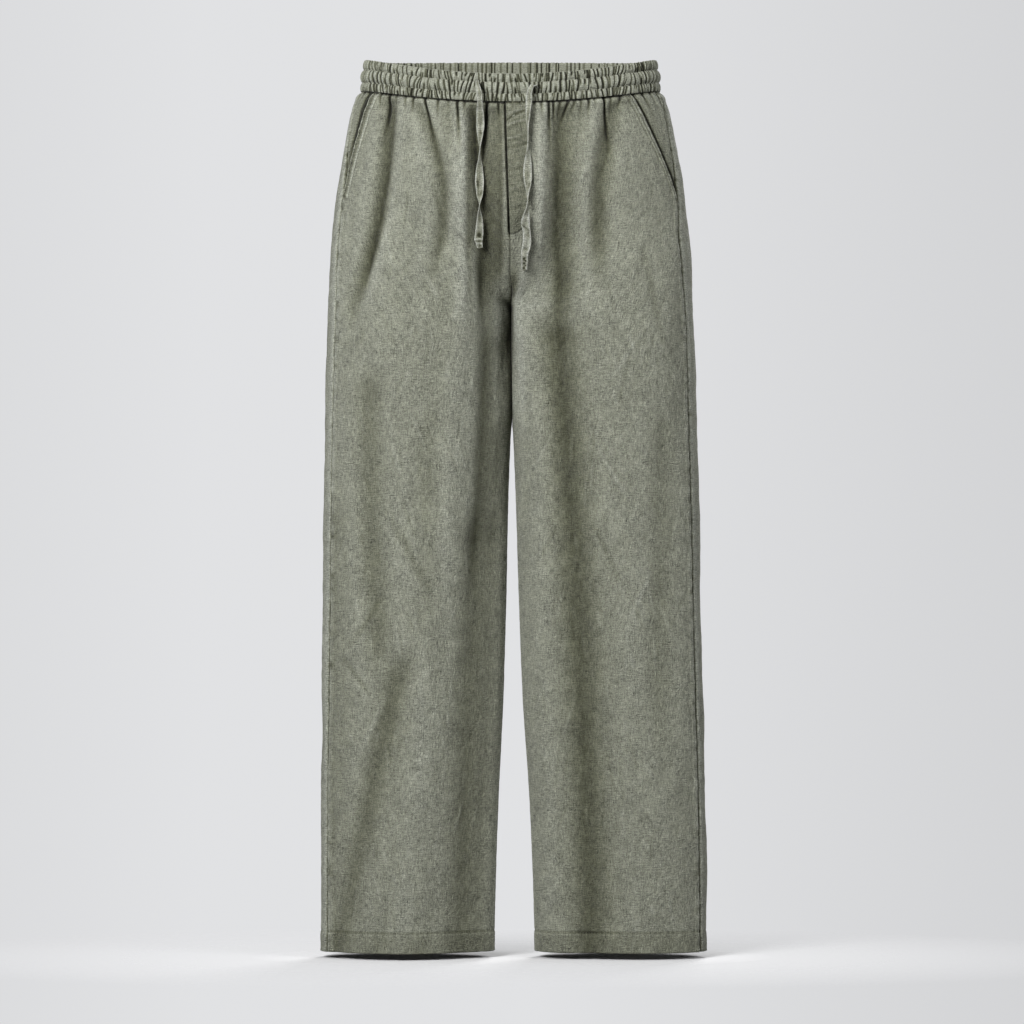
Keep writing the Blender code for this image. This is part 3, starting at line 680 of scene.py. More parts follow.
def weld(piece, filled=False):
    """Joins a rolled-up grid along its edges, and closes its open ends when filled."""
    bm = bmesh.new()
    bm.from_mesh(piece.data)
    bmesh.ops.remove_doubles(bm, verts=bm.verts, dist=1e-6)
    if filled:
        bmesh.ops.holes_fill(bm, edges=bm.edges, sides=0)
    bmesh.ops.recalc_face_normals(bm, faces=bm.faces)
    bm.to_mesh(piece.data)
    bm.free()


def hollows(relief, rows, columns, depth):
    """How deep each point lies below its neighbours, from -1 to 1."""
    mean = relief
    for reach, axis in ((rows, 0), (columns, 1)):
        around = [(0, 0), (0, 0)]
        around[axis] = (reach + 1, reach)
        sums = np.cumsum(np.pad(mean, around, mode="edge"), axis=axis)
        size = 2 * reach + 1
        after = np.take(sums, range(size, sums.shape[axis]), axis=axis)
        mean = (after - np.take(sums, range(sums.shape[axis] - size), axis=axis)) / size
    return np.clip((mean - relief) / depth, -1.0, 1.0)


# ================================================================ the panels
def fold_relief(folds, points):
    """The long folds, at points of the smooth form, and the painted shade of their troughs."""
    total = np.zeros(points.shape[:-1])
    shade = np.zeros(points.shape[:-1])
    drop = -points[..., 2]
    for fold in folds:
        t = (drop - fold.top) / (fold.bottom - fold.top)
        middle = fold.x_top + (fold.x_bottom - fold.x_top) * t + fold.bow * 4.0 * t * (1.0 - t)
        away = np.abs(points[..., 0]) - middle
        ends = smooth((drop - fold.top) / FOLD_RAMP) * smooth((fold.bottom - drop) / FOLD_FADE)
        total -= fold.depth * ends * bell(away, np.where(away < 0.0, fold.inner, fold.outer))
        shaded = [min(width, most) for width, most in zip((fold.inner, fold.outer), SHADED)]
        shade = np.maximum(shade, fold.dark * ends * bell(away, np.where(away < 0.0, *shaded)))
    return total, shade


def crease_line(points, crease):
    """One short crease, as a soft groove or ridge that thins out at both ends."""
    below = -points[..., 2] - crease.drop
    away = (np.abs(points[..., 0]) - crease.x - crease.lean * below) / math.hypot(1.0, crease.lean)
    along = np.clip(1.0 - (2.0 * below / crease.length) ** 2, 0.0, None)
    return -crease.depth * along ** 0.7 * bell(away, crease.width)


def small_creases(side, face, points):
    """Washed-in creases, short and slanting both ways."""
    chance = random.Random(f"{side} {face} creases")
    total = np.zeros(points.shape[:-1])
    for _ in range(SMALL_CREASES):
        drop = chance.uniform(0.10, 1.0)
        total += crease_line(points, Crease(
            chance.uniform(0.03, 0.205), drop, chance.choice((-1, 1)) * chance.uniform(0.02, 0.45),
            chance.uniform(0.014, 0.060), chance.uniform(0.0010, 0.0024),
            chance.choice((-1, 1)) * chance.uniform(0.0002, 0.0006)))
    return total


def back_gathers(side, length):
    """The gathers of a back panel, by the way along it from the side seam."""
    chance = random.Random(f"{side} back gathers")
    made = []
    for k in range(BACK_GATHERS):
        across = (k + chance.uniform(0.2, 0.8)) / BACK_GATHERS
        depths, lengths = LONG_GATHER if chance.random() < LONG_SHARE else SHORT_GATHER
        made.append(Gather(across * length, chance.uniform(-0.16, 0.10),
                           chance.uniform(*depths), chance.uniform(*lengths)))
    return made


def gather_relief(side, face, base, drops, run):
    """Gathers under the band, and the painted shade in them: notches at the seam that run out as
    soft creases below, with the cloth between them puffed out."""
    below = np.maximum(drops - WAIST, 0.0)
    total = PUFF * bell(below - 0.0050, 0.0050) - PINCH * bell(below, PINCH_LENGTH)
    shade = np.zeros(total.shape)
    x = np.abs(base[..., 0]) if face == "front" else run
    steep = np.abs(np.gradient(x, axis=1)) / np.maximum(np.gradient(run, axis=1), 1e-6)
    steep = np.maximum(steep, 0.30)
    gathers = (FRONT_GATHERS[side] if face == "front"
               else back_gathers(side, float(run[len(TUCKS), -1])))
    for gather in gathers:
        width = GATHER_WIDTH * (1.0 - 0.5 * smooth(below / 0.010)) + GATHER_SPREAD * below
        away = np.abs((x - gather.x - gather.drift * below) / steep) / width
        total -= 1.5 * gather.depth * bell(below, gather.length, 0.9) * np.exp(-away ** 1.6)
        shade = np.maximum(shade, min(gather.depth / 0.0015, 1.6) * bell(
            below, 0.75 * gather.length, 1.3) * np.exp(-away ** 2.6))
    if face == "front":
        total *= smooth((x - FLAT_BY_FLY[side] + 0.002) / 0.002)
    return total, shade


def seam_relief(from_edge, drop, seed, pucker):
    """The cloth beside a seam: drawn down at the stitches, raised over its turnings."""
    nip = -0.0015 * bell(from_edge, 0.0011)
    turning = 0.0006 * smooth((from_edge - 0.0010) / 0.002) * smooth((0.0100 - from_edge) / 0.003)
    waves = rumple(from_edge * 0.6, drop, 0.02, 0.0075, seed, 2) * smooth(from_edge / 0.003)
    return nip + turning + pucker * waves * bell(from_edge, PUCKER_REACH)


def seam_shade(from_edge, drop):
    """Painted shade along a side seam, and a painted highlight on the cloth that its turnings raise
    beside it.
    """
    wide = 0.0015 - 0.0004 * smooth((drop - 0.15) / 0.2)
    return (SIDE_SEAM_DARK * bell(from_edge, wide)
            - SIDE_SEAM_PALE * bell(from_edge - 2.6 * wide, wide))


def waist_shade(drop):
    """Painted shadow in a line right under the band."""
    return UNDER_BAND_DARK * bell(drop - WAIST, 0.0017, 4)


def lean_middle(points, drop):
    """Moves centre front a little to the wearer's right, where the lapped fly draws it."""
    near = smooth((CROTCH + 0.015 - drop) / 0.06) * bell(points[..., 0], 0.022)
    points[..., 0] -= FRONT_LEAN * near


def fly_lead(drop):
    """How far the fly's free edge lies past centre front."""
    return FLY_LEAD * (FLY_END - drop) / (FLY_END - WAIST)


def fly_groove(x, drop):
    """The groove along the free edge of the fly, in the cloth beside it, whose depth also sets the
    painted shade there.
    """
    return -0.0034 * smooth((FLY_END + 0.01 - drop) / 0.02) * bell(
        x + fly_lead(drop) + 0.0009, 0.0017)


def pocket_strip(side, rest, drops, seed):
    """Relief of the stitched strip along a pocket's edge, with its painted shade and highlights,
    and the painted dark marks of the bar at its end.
    """
    inside = smooth((POCKET_BOTTOM - drops) / 0.004)
    last_row = POCKET_ROWS[side][1]
    relief = 0.0009 * inside * bell(rest, last_row + 0.002, 6)
    lumps = np.maximum(rumple(rest, drops, 0.02, 0.0042, seed, 1), -0.15)
    shade = -POCKET_LUMP_PALE * inside * lumps * bell(rest - 0.0020, 0.0020)
    for inset in POCKET_ROWS[side]:
        stitched = inside * bell(rest - inset, 0.0011)
        relief -= 0.0006 * stitched
        shade += POCKET_STITCH_DARK * stitched
    strip = bell(rest - 0.0056, 0.0034, 4) - 1.2 * bell(rest - last_row + 0.0016, 0.0012)
    shade += POCKET_STRIP_DARK[side] * inside * strip
    inset, end = POCKET_END[side]
    beads = bell(np.mod(drops - end + 0.0013, 0.0026) - 1.4 * 0.0009, 0.0009)
    bar = beads * bell(rest - inset, 0.0024, 4) * bell(drops - end, 0.0036, 6)
    return relief, shade + POCKET_BAR_DARK * bar


def crotch_shade(side, x, drops):
    """Painted shade in a line where the legs meet and part, and painted light on the cloth beside
    it.
    """
    near = smooth((drops - 0.224) / 0.03) * smooth((0.44 - drops) / 0.06)
    wide = 0.0038 if side < 0 else 0.0030 + 0.0068 * smooth((0.36 - drops) / 0.12)
    return near * (CROTCH_DARK * bell(x, wide, 4) - CROTCH_PALE * bell(np.abs(x) - 0.0130, 0.0060))


def panel_rows():
    """Drops of a panel's rows and how deep each is turned in, from the waist seam's turning
    to the inside edge of the turned-up hem."""
    drops = [np.linspace(band.top, band.bottom, band.count, endpoint=False)
             for band in PANEL_ROWS]
    turned = np.linspace(HEM - 0.0015, HEM - HEM_DEPTH, 9)
    drop = np.concatenate([WAIST - np.array(TUCK_RISES)] + drops + [[HEM, HEM + 0.0004], turned])
    sink = np.zeros(len(drop))
    sink[:len(TUCKS)] = TUCKS
    sink[-len(turned) - 1] = 0.0009
    sink[-len(turned):] = 0.0018
    return drop, sink


def panel_cloth(side, face):
    """The grid of one panel: its points, flat places, outward directions and hollows."""
    front = face == "front"
    drop, row_sink = panel_rows()
    tucks = len(TUCKS)
    across = np.concatenate([[0.0] * tucks, np.linspace(0.0, 1.0, COLUMNS[face]), [1.0] * tucks])
    start, end = panel_span(side, face, drop)
    u = start[:, None] + (end - start)[:, None] * across
    drops, base, away, run, rest = lay_out(side, u, drop)
    middle_way, side_way = (run, rest) if front else (rest, run)
    reach = SEAM_CALM + INSEAM_CALM * smooth((drops - 0.28) / 0.08)
    calm = smooth(middle_way / reach) * smooth(side_way / SEAM_CALM)
    at_pocket = (drops < POCKET_BOTTOM - 0.002) & front
    seed = 11 + 2 * side + (not front)

    folds, painted_fold_shade = fold_relief(FOLDS[side, face], base)
    creases = small_creases(side, face, base)
    for crease in CREASES[side, face]:
        creases += crease_line(base, crease)
    gathered, in_gather = gather_relief(side, face, base, drops, run)
    held = 0.12 + 0.88 * smooth((drops - WAIST) / 0.022)
    relief = calm * (held * folds + creases) + gathered
    grain = grain_way(u, run, 0.25 if front else 0.75)
    high, *lump = BROAD_LUMPS
    relief += high * calm * rumple(grain, drops, *lump, seed)
    high, *lump = FINE_LUMPS
    relief += high * (0.4 + 0.6 * calm) * rumple(grain, drops, *lump, seed + 20, 3)
    rise = 0.7 * smooth((drops - FLY_END + 0.01) / 0.02) * smooth((CROTCH - drops) / 0.02) * front
    puckers = (INSEAM_PUCKER, SIDE_PUCKER[face])[::1 if front else -1]
    relief += (1.0 - rise) * seam_relief(run, drops, seed + 40, puckers[0])
    relief += seam_relief(rest, drops, seed + 60, puckers[1])

    # Painted shade, and painted highlights where it is below 0: in the gathers and the folds'
    # troughs, under the band, along the seams, creases and puckers, round the pocket and the
    # crotch, and on the hem; painted light on the backs by their side seams.
    shade = GATHER_DARK * in_gather + painted_fold_shade + waist_shade(drops)
    shade += MIDDLE_SEAM_DARK * bell(middle_way, 0.0010) - CREASE_SHADE * calm * creases
    shade += np.where(at_pocket, -POCKET_EDGE_PALE * bell(side_way - 0.0016, 0.0022),
                      seam_shade(side_way, drops))
    bars = np.maximum(rumple(side_way, drops, 0.03, 0.0060, seed + 70, 1) - 0.12, 0.0)
    shade += PUCKER_DARK * bars * bell(side_way - 0.003, 0.0045)
    if front:
        strip_relief, strip_shade = pocket_strip(side, rest, drops, seed + 90)
        relief += strip_relief
        shade += strip_shade + crotch_shade(side, base[..., 0], drops)
    else:
        shade -= BACK_SIDE_PALE[side] * bell(side_way, 0.016)
    if front and side < 0:
        groove = fly_groove(base[..., 0], drops)
        relief += groove
        # Painted shade on the cloth beside the fly's edge and in its groove.
        beside = bell(base[..., 0] + 0.010, 0.014) * smooth((0.26 - drops) / 0.06)
        shade += FLY_SIDE_DARK * beside - FLY_EDGE_DARK * groove
    in_hem = smooth((drops - HEM + HEM_DEPTH) / 0.003)
    at_stitches = bell(drops - (HEM - HEM_DEPTH), 0.0012)
    roping = np.sin(2.0 * math.pi * (run / 0.015 + drops / 0.030)
                    + 5.0 * rumple(run, drops, 0.04, 0.05, seed + 80, 1))
    relief += in_hem * (0.0003 + 0.00011 * roping) - 0.0007 * at_stitches
    shade *= 1.0 - HEM_CALM * in_hem
    shade += HEM_DARK * in_hem + HEM_STITCH_DARK * at_stitches

    sink = np.zeros(u.shape) + row_sink[:, None]
    for k, depth in enumerate(TUCKS):
        sink[:, k] += depth
        sink[:, -1 - k] += depth * np.where(at_pocket[:, 0], POCKET_TUCK, 1.0)
    points = press_legs(side, base + away * (relief - sink)[..., None], away, drops)
    edge = points[:, :tucks + 1] if front else points[:, -tucks - 1:]
    edge[drop < CROTCH + 0.012, :, 0] = side * 0.00006
    if front:
        lean_middle(points, drops)
    # Painted shade also in the relief's hollows, and on everything turned in.
    painted_shade_and_marks = 0.6 * hollows(relief, 2, 5, 0.0009) + hollows(relief, 2, 28, 0.0055) + shade
    painted_shade_and_marks[sink > 0.0] = TURNED_DARK
    return dict(side=side, points=points, away=away, drop=drop, run=run, painted_shade_and_marks=painted_shade_and_marks, base=base,
                flat=np.stack([grain, -drops - row_sink[:, None]], axis=-1))


# ================================================================ facings and fly
def facing_cloth(side):
    """The hip piece that shows in a slanted pocket opening, set in under the front panel."""
    drop = np.concatenate([WAIST - np.array(TUCK_RISES),
                           np.linspace(WAIST, FACING_END, FACING_ROWS)])
    edge = pocket_edge(side, drop)
    start = edge - FACING_LAP
    seam = SEAM_LINES[WEARER[side]].at(drop) - SEAM_U
    across = np.concatenate([np.linspace(0.0, 1.0, FACING_COLUMNS), [1.0] * len(TUCKS)])
    u = start[:, None] + (seam - start)[:, None] * across
    drops, base, away, run, rest = lay_out(side, u, drop)
    below = np.maximum(drops - WAIST, 0.0)
    past = u - edge[:, None]
    inset = FACING_INSET + (LEDGE - FACING_INSET) * smooth(past / FACING_RISE)
    relief = -inset - 0.0012 * bell(past, 0.012) - 0.0012 * bell(drops - WAIST, PINCH_LENGTH)
    relief += 0.00030 * rumple(run, drops, 0.010, 0.016, 31 + side, 3)
    relief += seam_relief(rest, drops, 34 + side, INSEAM_PUCKER)
    notches = np.zeros(u.shape)
    for place, depth, length in FACING_NOTCHES:
        gather = (run - place * run[:, -1:]) / (GATHER_WIDTH + GATHER_SPREAD * below)
        notch = np.exp(-below / length - np.abs(gather) ** 1.6)
        relief -= 1.5 * depth * notch
        notches += notch
    sink = np.zeros(u.shape)
    for k, depth in enumerate(TUCKS):
        sink[k] += depth
        sink[:, -1 - k] += depth
    # Painted shadow on the facing along the front panel's edge, where the panel lies over it.
    edge_x = np.abs(form(side, edge, drop)[:, 0] + 0.0032 * outward(side, edge, drop)[:, 0])
    beyond = np.maximum(np.abs(base[..., 0]) - edge_x[:, None], 0.0)
    line = 0.0019 * smooth(1.0 - (drops - WAIST) / (POCKET_BOTTOM + 0.02 - WAIST)) ** 0.4
    if side < 0:
        line = line * (1.0 + 0.5 * smooth((0.060 - drops) / 0.03))
    under = bell(beyond, np.maximum(line, 1e-4), 3) + 0.35 * np.exp(-beyond / 0.005)
    if side < 0:
        under = under * (1.0 - 0.45 * smooth((drops - 0.060) / 0.03))
    painted_shade_and_marks = hollows(relief + inset, 2, 4, 0.0009) + FACING_DARK * (notches + under)
    painted_shade_and_marks += waist_shade(drops) + 0.55 * seam_shade(rest, drops)
    return dict(side=side, points=base + away * (relief - sink)[..., None], away=away, drop=drop,
                run=run, painted_shade_and_marks=painted_shade_and_marks, base=base, flat=np.stack([run + 0.4, -drops], axis=-1))


def fly_cloth():
    """The mock fly: a flap on the front panels with its free edge at centre front."""
    drop = WAIST + (FLY_END - WAIST) * np.sin(0.5 * math.pi * np.linspace(0.0, 1.0, FLY_ROWS))
    curve = np.clip((drop - FLY_CURVE) / (FLY_END - FLY_CURVE), 0.0, 1.0)
    lead = fly_lead(drop)
    width = 0.001 + (FLY_WIDTH - 0.001) * np.sqrt(1.0 - curve * curve)
    across = np.concatenate([[0.0], np.linspace(0.0, 1.0, FLY_COLUMNS), [1.0]])
    x = -lead[:, None] + (width + lead)[:, None] * across
    drops = np.broadcast_to(drop[:, None], x.shape)
    base = np.zeros(x.shape + (3,))
    away = np.zeros(x.shape + (3,))
    for side, here in ((-1, x < 0.0), (1, x >= 0.0)):
        u = np.arcsin(np.abs(x) / BODY[WEARER[side]].at(drops)) / math.pi
        base[here] = form(side, u, drops)[here]
        away[here] = outward(side, u, drops)[here]
    run = way_along(base)
    below = np.maximum(drops - WAIST, 0.0)
    relief = LEDGE + LAYER - 0.0009 * bell(drops - WAIST, PINCH_LENGTH)
    relief += 0.00030 * rumple(run, drops, 0.016, 0.0042, 5, 3)
    relief += 0.00022 * rumple(run, drops, 0.006, 0.010, 6, 2)
    for crease in FLY_CREASES:
        off = drops - crease.drop + crease.rise * x + crease.bend * x * x
        relief -= crease.depth * bell(off, crease.width)
    for place, depth, length in FLY_NOTCHES:
        gather = np.abs(x - place) / (0.0012 + GATHER_SPREAD * below)
        relief -= depth * np.exp(-below / length - gather ** 1.4)
    sink = np.zeros(x.shape)
    sink[:, [0, -1]] = LAYER
    points = base + away * (relief - sink)[..., None]
    lean_middle(points, drops)
    # Painted shade: the whole flap a little darker, darker still in its hollows, under the band and
    # along its turned edge.
    painted_shade_and_marks = 1.0 + 1.2 * hollows(relief, 2, 4, 0.0008) + waist_shade(drops)
    painted_shade_and_marks[:, 0] = 2.0
    return dict(side=1, points=points, away=away, drop=drop, run=run, painted_shade_and_marks=painted_shade_and_marks, base=base,
                flat=np.stack([run + 0.9, -drops], axis=-1))


# ================================================================ the waistband
def rib_lines(total, pitch, seed):
    """Uneven places round the band where two ribs meet. The dip at each has a depth, a width, a
    lean, a bend, and a part of the channel: 0 for all of it, 1 or -1 for its upper or lower end."""
    chance = random.Random(seed)
    widths = [0.45 + 1.40 * chance.random() ** 1.5 for _ in range(round(total / pitch))]
    places = np.concatenate([[0.0], np.cumsum(widths)]) * total / sum(widths)
    dips = [(chance.uniform(0.50, 1.0), chance.uniform(0.0007, 0.0015),
             chance.uniform(-0.0008, 0.0008), chance.uniform(-0.0004, 0.0004),
             chance.choice((-1, 0, 0, 0, 0, 0, 1))) for _ in widths]
    return places, np.array(dips)


def ribs(lines, run, height, total):
    """Rib profiles at a height from 0 to 1 in a channel: 1 on the backs of the ribs and down to
    0 in the dips between them."""
    places, dips = lines
    run = np.mod(run, total)
    k = np.clip(np.searchsorted(places, run, side="right") - 1, 0, len(places) - 2)
    dip = np.zeros(run.shape)
    rim = np.zeros(run.shape)
    upward = 2.0 * height - 1.0
    for near in (k - 1, k, k + 1, k + 2):
        depth, width, lean, bend, part = dips[near % len(dips)].T
        middle = places[near % len(dips)] + lean * upward + bend * (1.0 - upward * upward)
        away = np.mod(run - middle + 0.5 * total, total) - 0.5 * total
        depth = depth * np.where(part == 0, 1.0, smooth(0.5 + 1.4 * part * upward))
        dip = np.maximum(dip, depth * bell(away, width))
        rim = np.maximum(rim, depth * bell(np.abs(away) / width - 2.0, 0.8))
    arch = np.sin(math.pi * (run - places[k]) / (places[k + 1] - places[k]))
    return (1.0 - dip) * (0.72 + 0.14 * arch + 0.20 * rim)


def band_ring():
    """The band's line round the waist: points and outward directions, the heights of its middle
    and half its own height, and the way along it."""
    turn = np.linspace(0.0, 1.0, BAND_COLUMNS + 1)
    base, away, level, half_height = (np.zeros((len(turn), n)) for n in (3, 3, 1, 1))
    for side, here in ((1, turn < 0.5), (-1, turn >= 0.5)):
        u = 2.0 * turn[here] if side > 0 else 2.0 - 2.0 * turn[here]
        base[here] = form(side, u, 0.0 * u)
        away[here] = outward(side, u, 0.0 * u)
        front = np.maximum(np.cos(math.pi * u), 0.0) ** 2
        half_height[here, 0] = (BAND_HALF_HEIGHT
                                + (BAND_FRONT_HALF_HEIGHT - BAND_HALF_HEIGHT) * front)
        level[here, 0] = tilt(u, FRONT_DIP - BAND_HALF_HEIGHT + BAND_FRONT_HALF_HEIGHT, BACK_RISE)
    return base, away, level[:, 0], half_height[:, 0], way_along(base[None])[0]


def swell(t, power):
    """A bulge that is flat 0 at both ends of a channel."""
    return math.sin(math.pi * t) ** power if 0.0 < t < 1.0 else 0.0


def in_holes(base, z):
    """1 in the buttonholes and 0 elsewhere on the band."""
    inside = np.zeros(z.shape)
    for hole in HOLES:
        x, up = base[:, 0] - hole.x, z - hole.z
        along = x * hole.lean[0] + up * hole.lean[1]
        across = x * hole.lean[1] - up * hole.lean[0]
        inside += bell(along, hole.long, 4) * bell(across, hole.wide, 4) * (base[:, 1] < 0.0)
    return inside


def band_cloth():
    """The elastic band: three gathered channels outside and ribs inside, closed all round."""
    base, away, level, half_height, run = band_ring()
    total = run[-1]
    lean = 0.6 * np.array([noise.noise((spot / 0.030, 0.0, 3.0)) for spot in run])
    rows = []
    for number, (channel, count) in enumerate(zip(CHANNELS, CHANNEL_ROWS)):
        lines = rib_lines(total, channel.pitch, 40 + number)
        last = number == len(CHANNELS) - 1
        for t in np.linspace(0.0, 1.0, count, endpoint=last):
            height = channel.bottom + (channel.top - channel.bottom) * t
            belly = swell(t, 0.75)
            slant = lean * (t - 0.5) * (channel.top - channel.bottom) * BAND_HALF_HEIGHT
            rib = ribs(lines, run + slant, t, total)
            out = channel.out_bottom + (channel.out_top - channel.out_bottom) * t
            out += channel.belly * belly + channel.rib * (0.55 + 0.45 * belly) * (rib - 0.75)
            inside = in_holes(base, level + height * half_height)
            nip = 0.0007 * (1.0 - belly) ** 3 * (0.0 < height + 1.0 < 1.99)
            rim = 0.0009 * (rib - 0.6) / BAND_HALF_HEIGHT if last and t > 0.8 else 0.0
            # The third value is painted shade: dark in the dips between the ribs and in the
            # buttonholes, paler on the ribs' backs.
            rows.append((height + rim, out - HOLE_DEPTH * inside - nip,
                         2.15 - 2.80 * rib - 0.15 * belly + 1.6 * inside, height))
    # Inside the band, the ribs are painted darker in their dips too.
    inner = ribs(rib_lines(total, BAND_INSIDE_PITCH, 60), run, 0.5, total)
    top_height, top_out = rows[-1][:2]
    for t in (0.25, 0.5, 0.75):
        rows.append((top_height + math.sin(math.pi * t) * 0.022,
                     top_out + (BAND_INSIDE_TOP - top_out) * t, 0.7 - 1.1 * inner, 1.0 + t * 0.1))
    for t in np.linspace(0.0, 1.0, BAND_INSIDE_ROWS):
        out = BAND_INSIDE_TOP + (BAND_INSIDE_BOTTOM - BAND_INSIDE_TOP) * t
        rows.append((1.0 - 2.0 * t, out - BAND_INSIDE_RIB * (0.3 + 0.7 * swell(t, 0.5)) * inner,
                     1.8 - 2.2 * inner, 1.2 + 2.0 * t))
    rows.append(rows[0])
    points, flat, painted_shade_and_marks = [], [], []
    for height, out, deep, place in rows[::-1]:
        spots = base + away * np.broadcast_to(out, run.shape)[:, None]
        spots[:, 2] = level + height * half_height
        points.append(spots)
        flat.append(np.stack([1.9 * run, np.full(run.shape, place * BAND_HALF_HEIGHT)], axis=-1))
        painted_shade_and_marks.append(np.broadcast_to(deep, run.shape))
    return dict(points=np.array(points), flat=np.array(flat), painted_shade_and_marks=np.array(painted_shade_and_marks))


# ================================================================ the drawstring
def tape_frames(route):
    """Middles, across and through directions and half widths of a tape's sections."""
    curve = curves([(key, *point) for key, point in enumerate(route)], TapePoint._fields)
    place = np.linspace(0, len(route) - 1, (len(route) - 1) * TAPE_STEPS + 1)
    middle = np.stack([curve[field].at(place) for field in "xyz"], axis=1)
    ahead = np.gradient(middle, axis=0)
    ahead /= np.linalg.norm(ahead, axis=1, keepdims=True)
    across = np.array([1.0, 0.0, 0.0]) - ahead * ahead[:, :1]
    across /= np.linalg.norm(across, axis=1, keepdims=True)
    angle = np.radians(curve["turn"].at(place))[:, None]
    across = across * np.cos(angle) + np.cross(ahead, across) * np.sin(angle)
    return middle, across, np.cross(ahead, across), curve["half"].at(place)


def make_tape(name, route, marks, painted_tape_shade, finish):
    """A free end of the drawstring: a folded linen tape with a turned end."""
    middle, across, through, half = tape_frames(route)
    length = way_along(middle[None])[0]
    angle = np.linspace(0.0, 2.0 * math.pi, TAPE_SIDES + 1)
    flat_side = np.sign(np.cos(angle)) * np.abs(np.cos(angle)) ** 0.75
    thick = np.sign(np.sin(angle)) * np.abs(np.sin(angle)) ** 0.8
    angles, lengths = np.meshgrid(angle, length)
    uneven = rumple(angles * 0.004, lengths, 0.006, 0.007, 70 + len(route), 3)
    uneven[:, -1] = uneven[:, 0]
    wide = half[:, None] * (flat_side + 0.05 * uneven)
    deep = 0.5 * TAPE_THICK * (thick * (0.30 + 0.70 * flat_side ** 2)
                               + 0.34 * uneven * np.abs(np.sin(angle)))
    points = (middle[:, None] + across[:, None] * wide[..., None]
              + through[:, None] * deep[..., None])
    flat = np.stack([angles / (2.0 * math.pi) * 0.018, -lengths], axis=-1)
    # Painted shade along the tape's middle and painted highlights on its folded edges, on top of
    # its own base of painted shade.
    painted_shade_and_marks = painted_tape_shade - 2.3 * flat_side ** 2 + 0.9 * uneven
    for mark in marks:
        up = points[..., 2] - mark.z
        off = points[..., 0] - middle[:, None, 0] - mark.x - mark.lean * up
        near = mark.dark * bell(off, mark.wide) * bell(up, mark.long)
        points[..., 1] += 0.00022 * near
        painted_shade_and_marks += near
    piece = lay_grid(name, points, flat, painted_shade_and_marks, finish)
    weld(piece, filled=True)
    return piece, middle, float(length[-1])


# ================================================================ sewing
def on_cloth(cloth, rows, columns):
    """Points and outward directions at fractional rows and columns of a piece of cloth."""
    found = []
    for grid in (cloth["points"], cloth["away"]):
        row = np.clip(rows, 0, grid.shape[0] - 1.001)
        column = np.clip(columns, 0, grid.shape[1] - 1.001)
        r, c = row.astype(int), column.astype(int)
        s, t = (row - r)[:, None], (column - c)[:, None]
        found.append((grid[r, c] * (1 - s) + grid[r + 1, c] * s) * (1 - t)
                     + (grid[r, c + 1] * (1 - s) + grid[r + 1, c + 1] * s) * t)
    return found


def sew(bm, points, away, pitch, share=0.72, thick=0.00042):
    """A row of stitches along a line on the cloth, each a small sunken bead of thread."""
    length = way_along(points[None])[0]
    count = max(int(length[-1] / pitch), 1)
    half = 0.5 * share * length[-1] / count
    for place in (np.arange(count) + 0.5) * length[-1] / count:
        start, end, out = (Vector([np.interp(at, length, values[:, axis]) for axis in range(3)])
                           for at, values in ((place - half, points), (place + half, points),
                                              (place, away)))
        stitch(bm, start, end, out, thick, 0.0001)


def stitch(bm, start, end, out, thick, proud):
    """One bead of thread from start to end, lying on the cloth that faces out."""
    along = end - start
    ahead = along.normalized()
    side = ahead.cross(out).normalized()
    up = side.cross(ahead)
    middle = (start + end) / 2 + up * proud
    turn = Matrix((ahead * (along.length / 2), side * thick / 2, up * thick / 2)).transposed()
    place = Matrix.Translation(middle) @ turn.to_4x4()
    bmesh.ops.create_icosphere(bm, subdivisions=1, radius=1.0, matrix=place)


def sewn_piece(name, finish, lines, pitch, bars=(), **bead):
    """One piece that holds several rows of stitches, and bars of them."""
    bm = bmesh.new()
    for points, away in lines:
        sew(bm, points, away, pitch, **bead)
    for spot, out in bars:
        bar_of_stitches(bm, Vector(spot), Vector(out))
    return new_piece(name, bm, finish)


def hem_line(cloth):
    """The line of the hem's stitches on one panel."""
    row = float(np.argmin(np.abs(cloth["drop"][:-HEM_ROWS] - (HEM - HEM_DEPTH))))
    columns = np.linspace(len(TUCKS), cloth["points"].shape[1] - 1 - len(TUCKS), 240)
    return on_cloth(cloth, np.full(240, row), columns)


def edge_line(cloth, inset, top, bottom):
    """A line of stitches at an inset from a panel's outer edge, between two drops."""
    drop, run = cloth["drop"], cloth["run"]
    rows = [k for k in range(len(TUCKS), len(drop) - HEM_ROWS) if top <= drop[k] <= bottom]
    columns = [np.interp(run[k, -1] - inset, run[k], np.arange(run.shape[1])) for k in rows]
    return on_cloth(cloth, np.array(rows, dtype=float), np.array(columns))


def bar_of_stitches(bm, middle, out):
    """A short dense bar of thread across the end of a pocket."""
    beside = Vector((1.0, 0.0, 0.0))
    beside = (beside - out * beside.dot(out)).normalized()
    down = beside.cross(out).normalized()
    for k in range(4):
        spot = middle + beside * 0.0021 * (k - 1.5)
        lean = beside * (0.0005 if k % 2 else -0.0005)
        stitch(bm, spot - down * 0.0021 - lean, spot + down * 0.0021 + lean, out, 0.0011, 0.0002)
    for k in (-1, 1):
        spot = middle + down * 0.0026 * k
        stitch(bm, spot - beside * 0.0034, spot + beside * 0.0034, out, 0.0010, 0.0002)


# ================================================================ finishes
def join(tree, node, inputs):
    """Gives a node's inputs their values and links."""
    for key, value in inputs.items():
        if isinstance(value, bpy.types.NodeSocket):
            tree.links.new(value, node.inputs[key])
        else:
            node.inputs[key].default_value = value


def add_node(tree, kind, inputs=None, **settings):
    """A shader node with its settings, values and links."""
    made = tree.nodes.new(kind)
    for key, value in settings.items():
        setattr(made, key, value)
    join(tree, made, inputs or {})
    return made


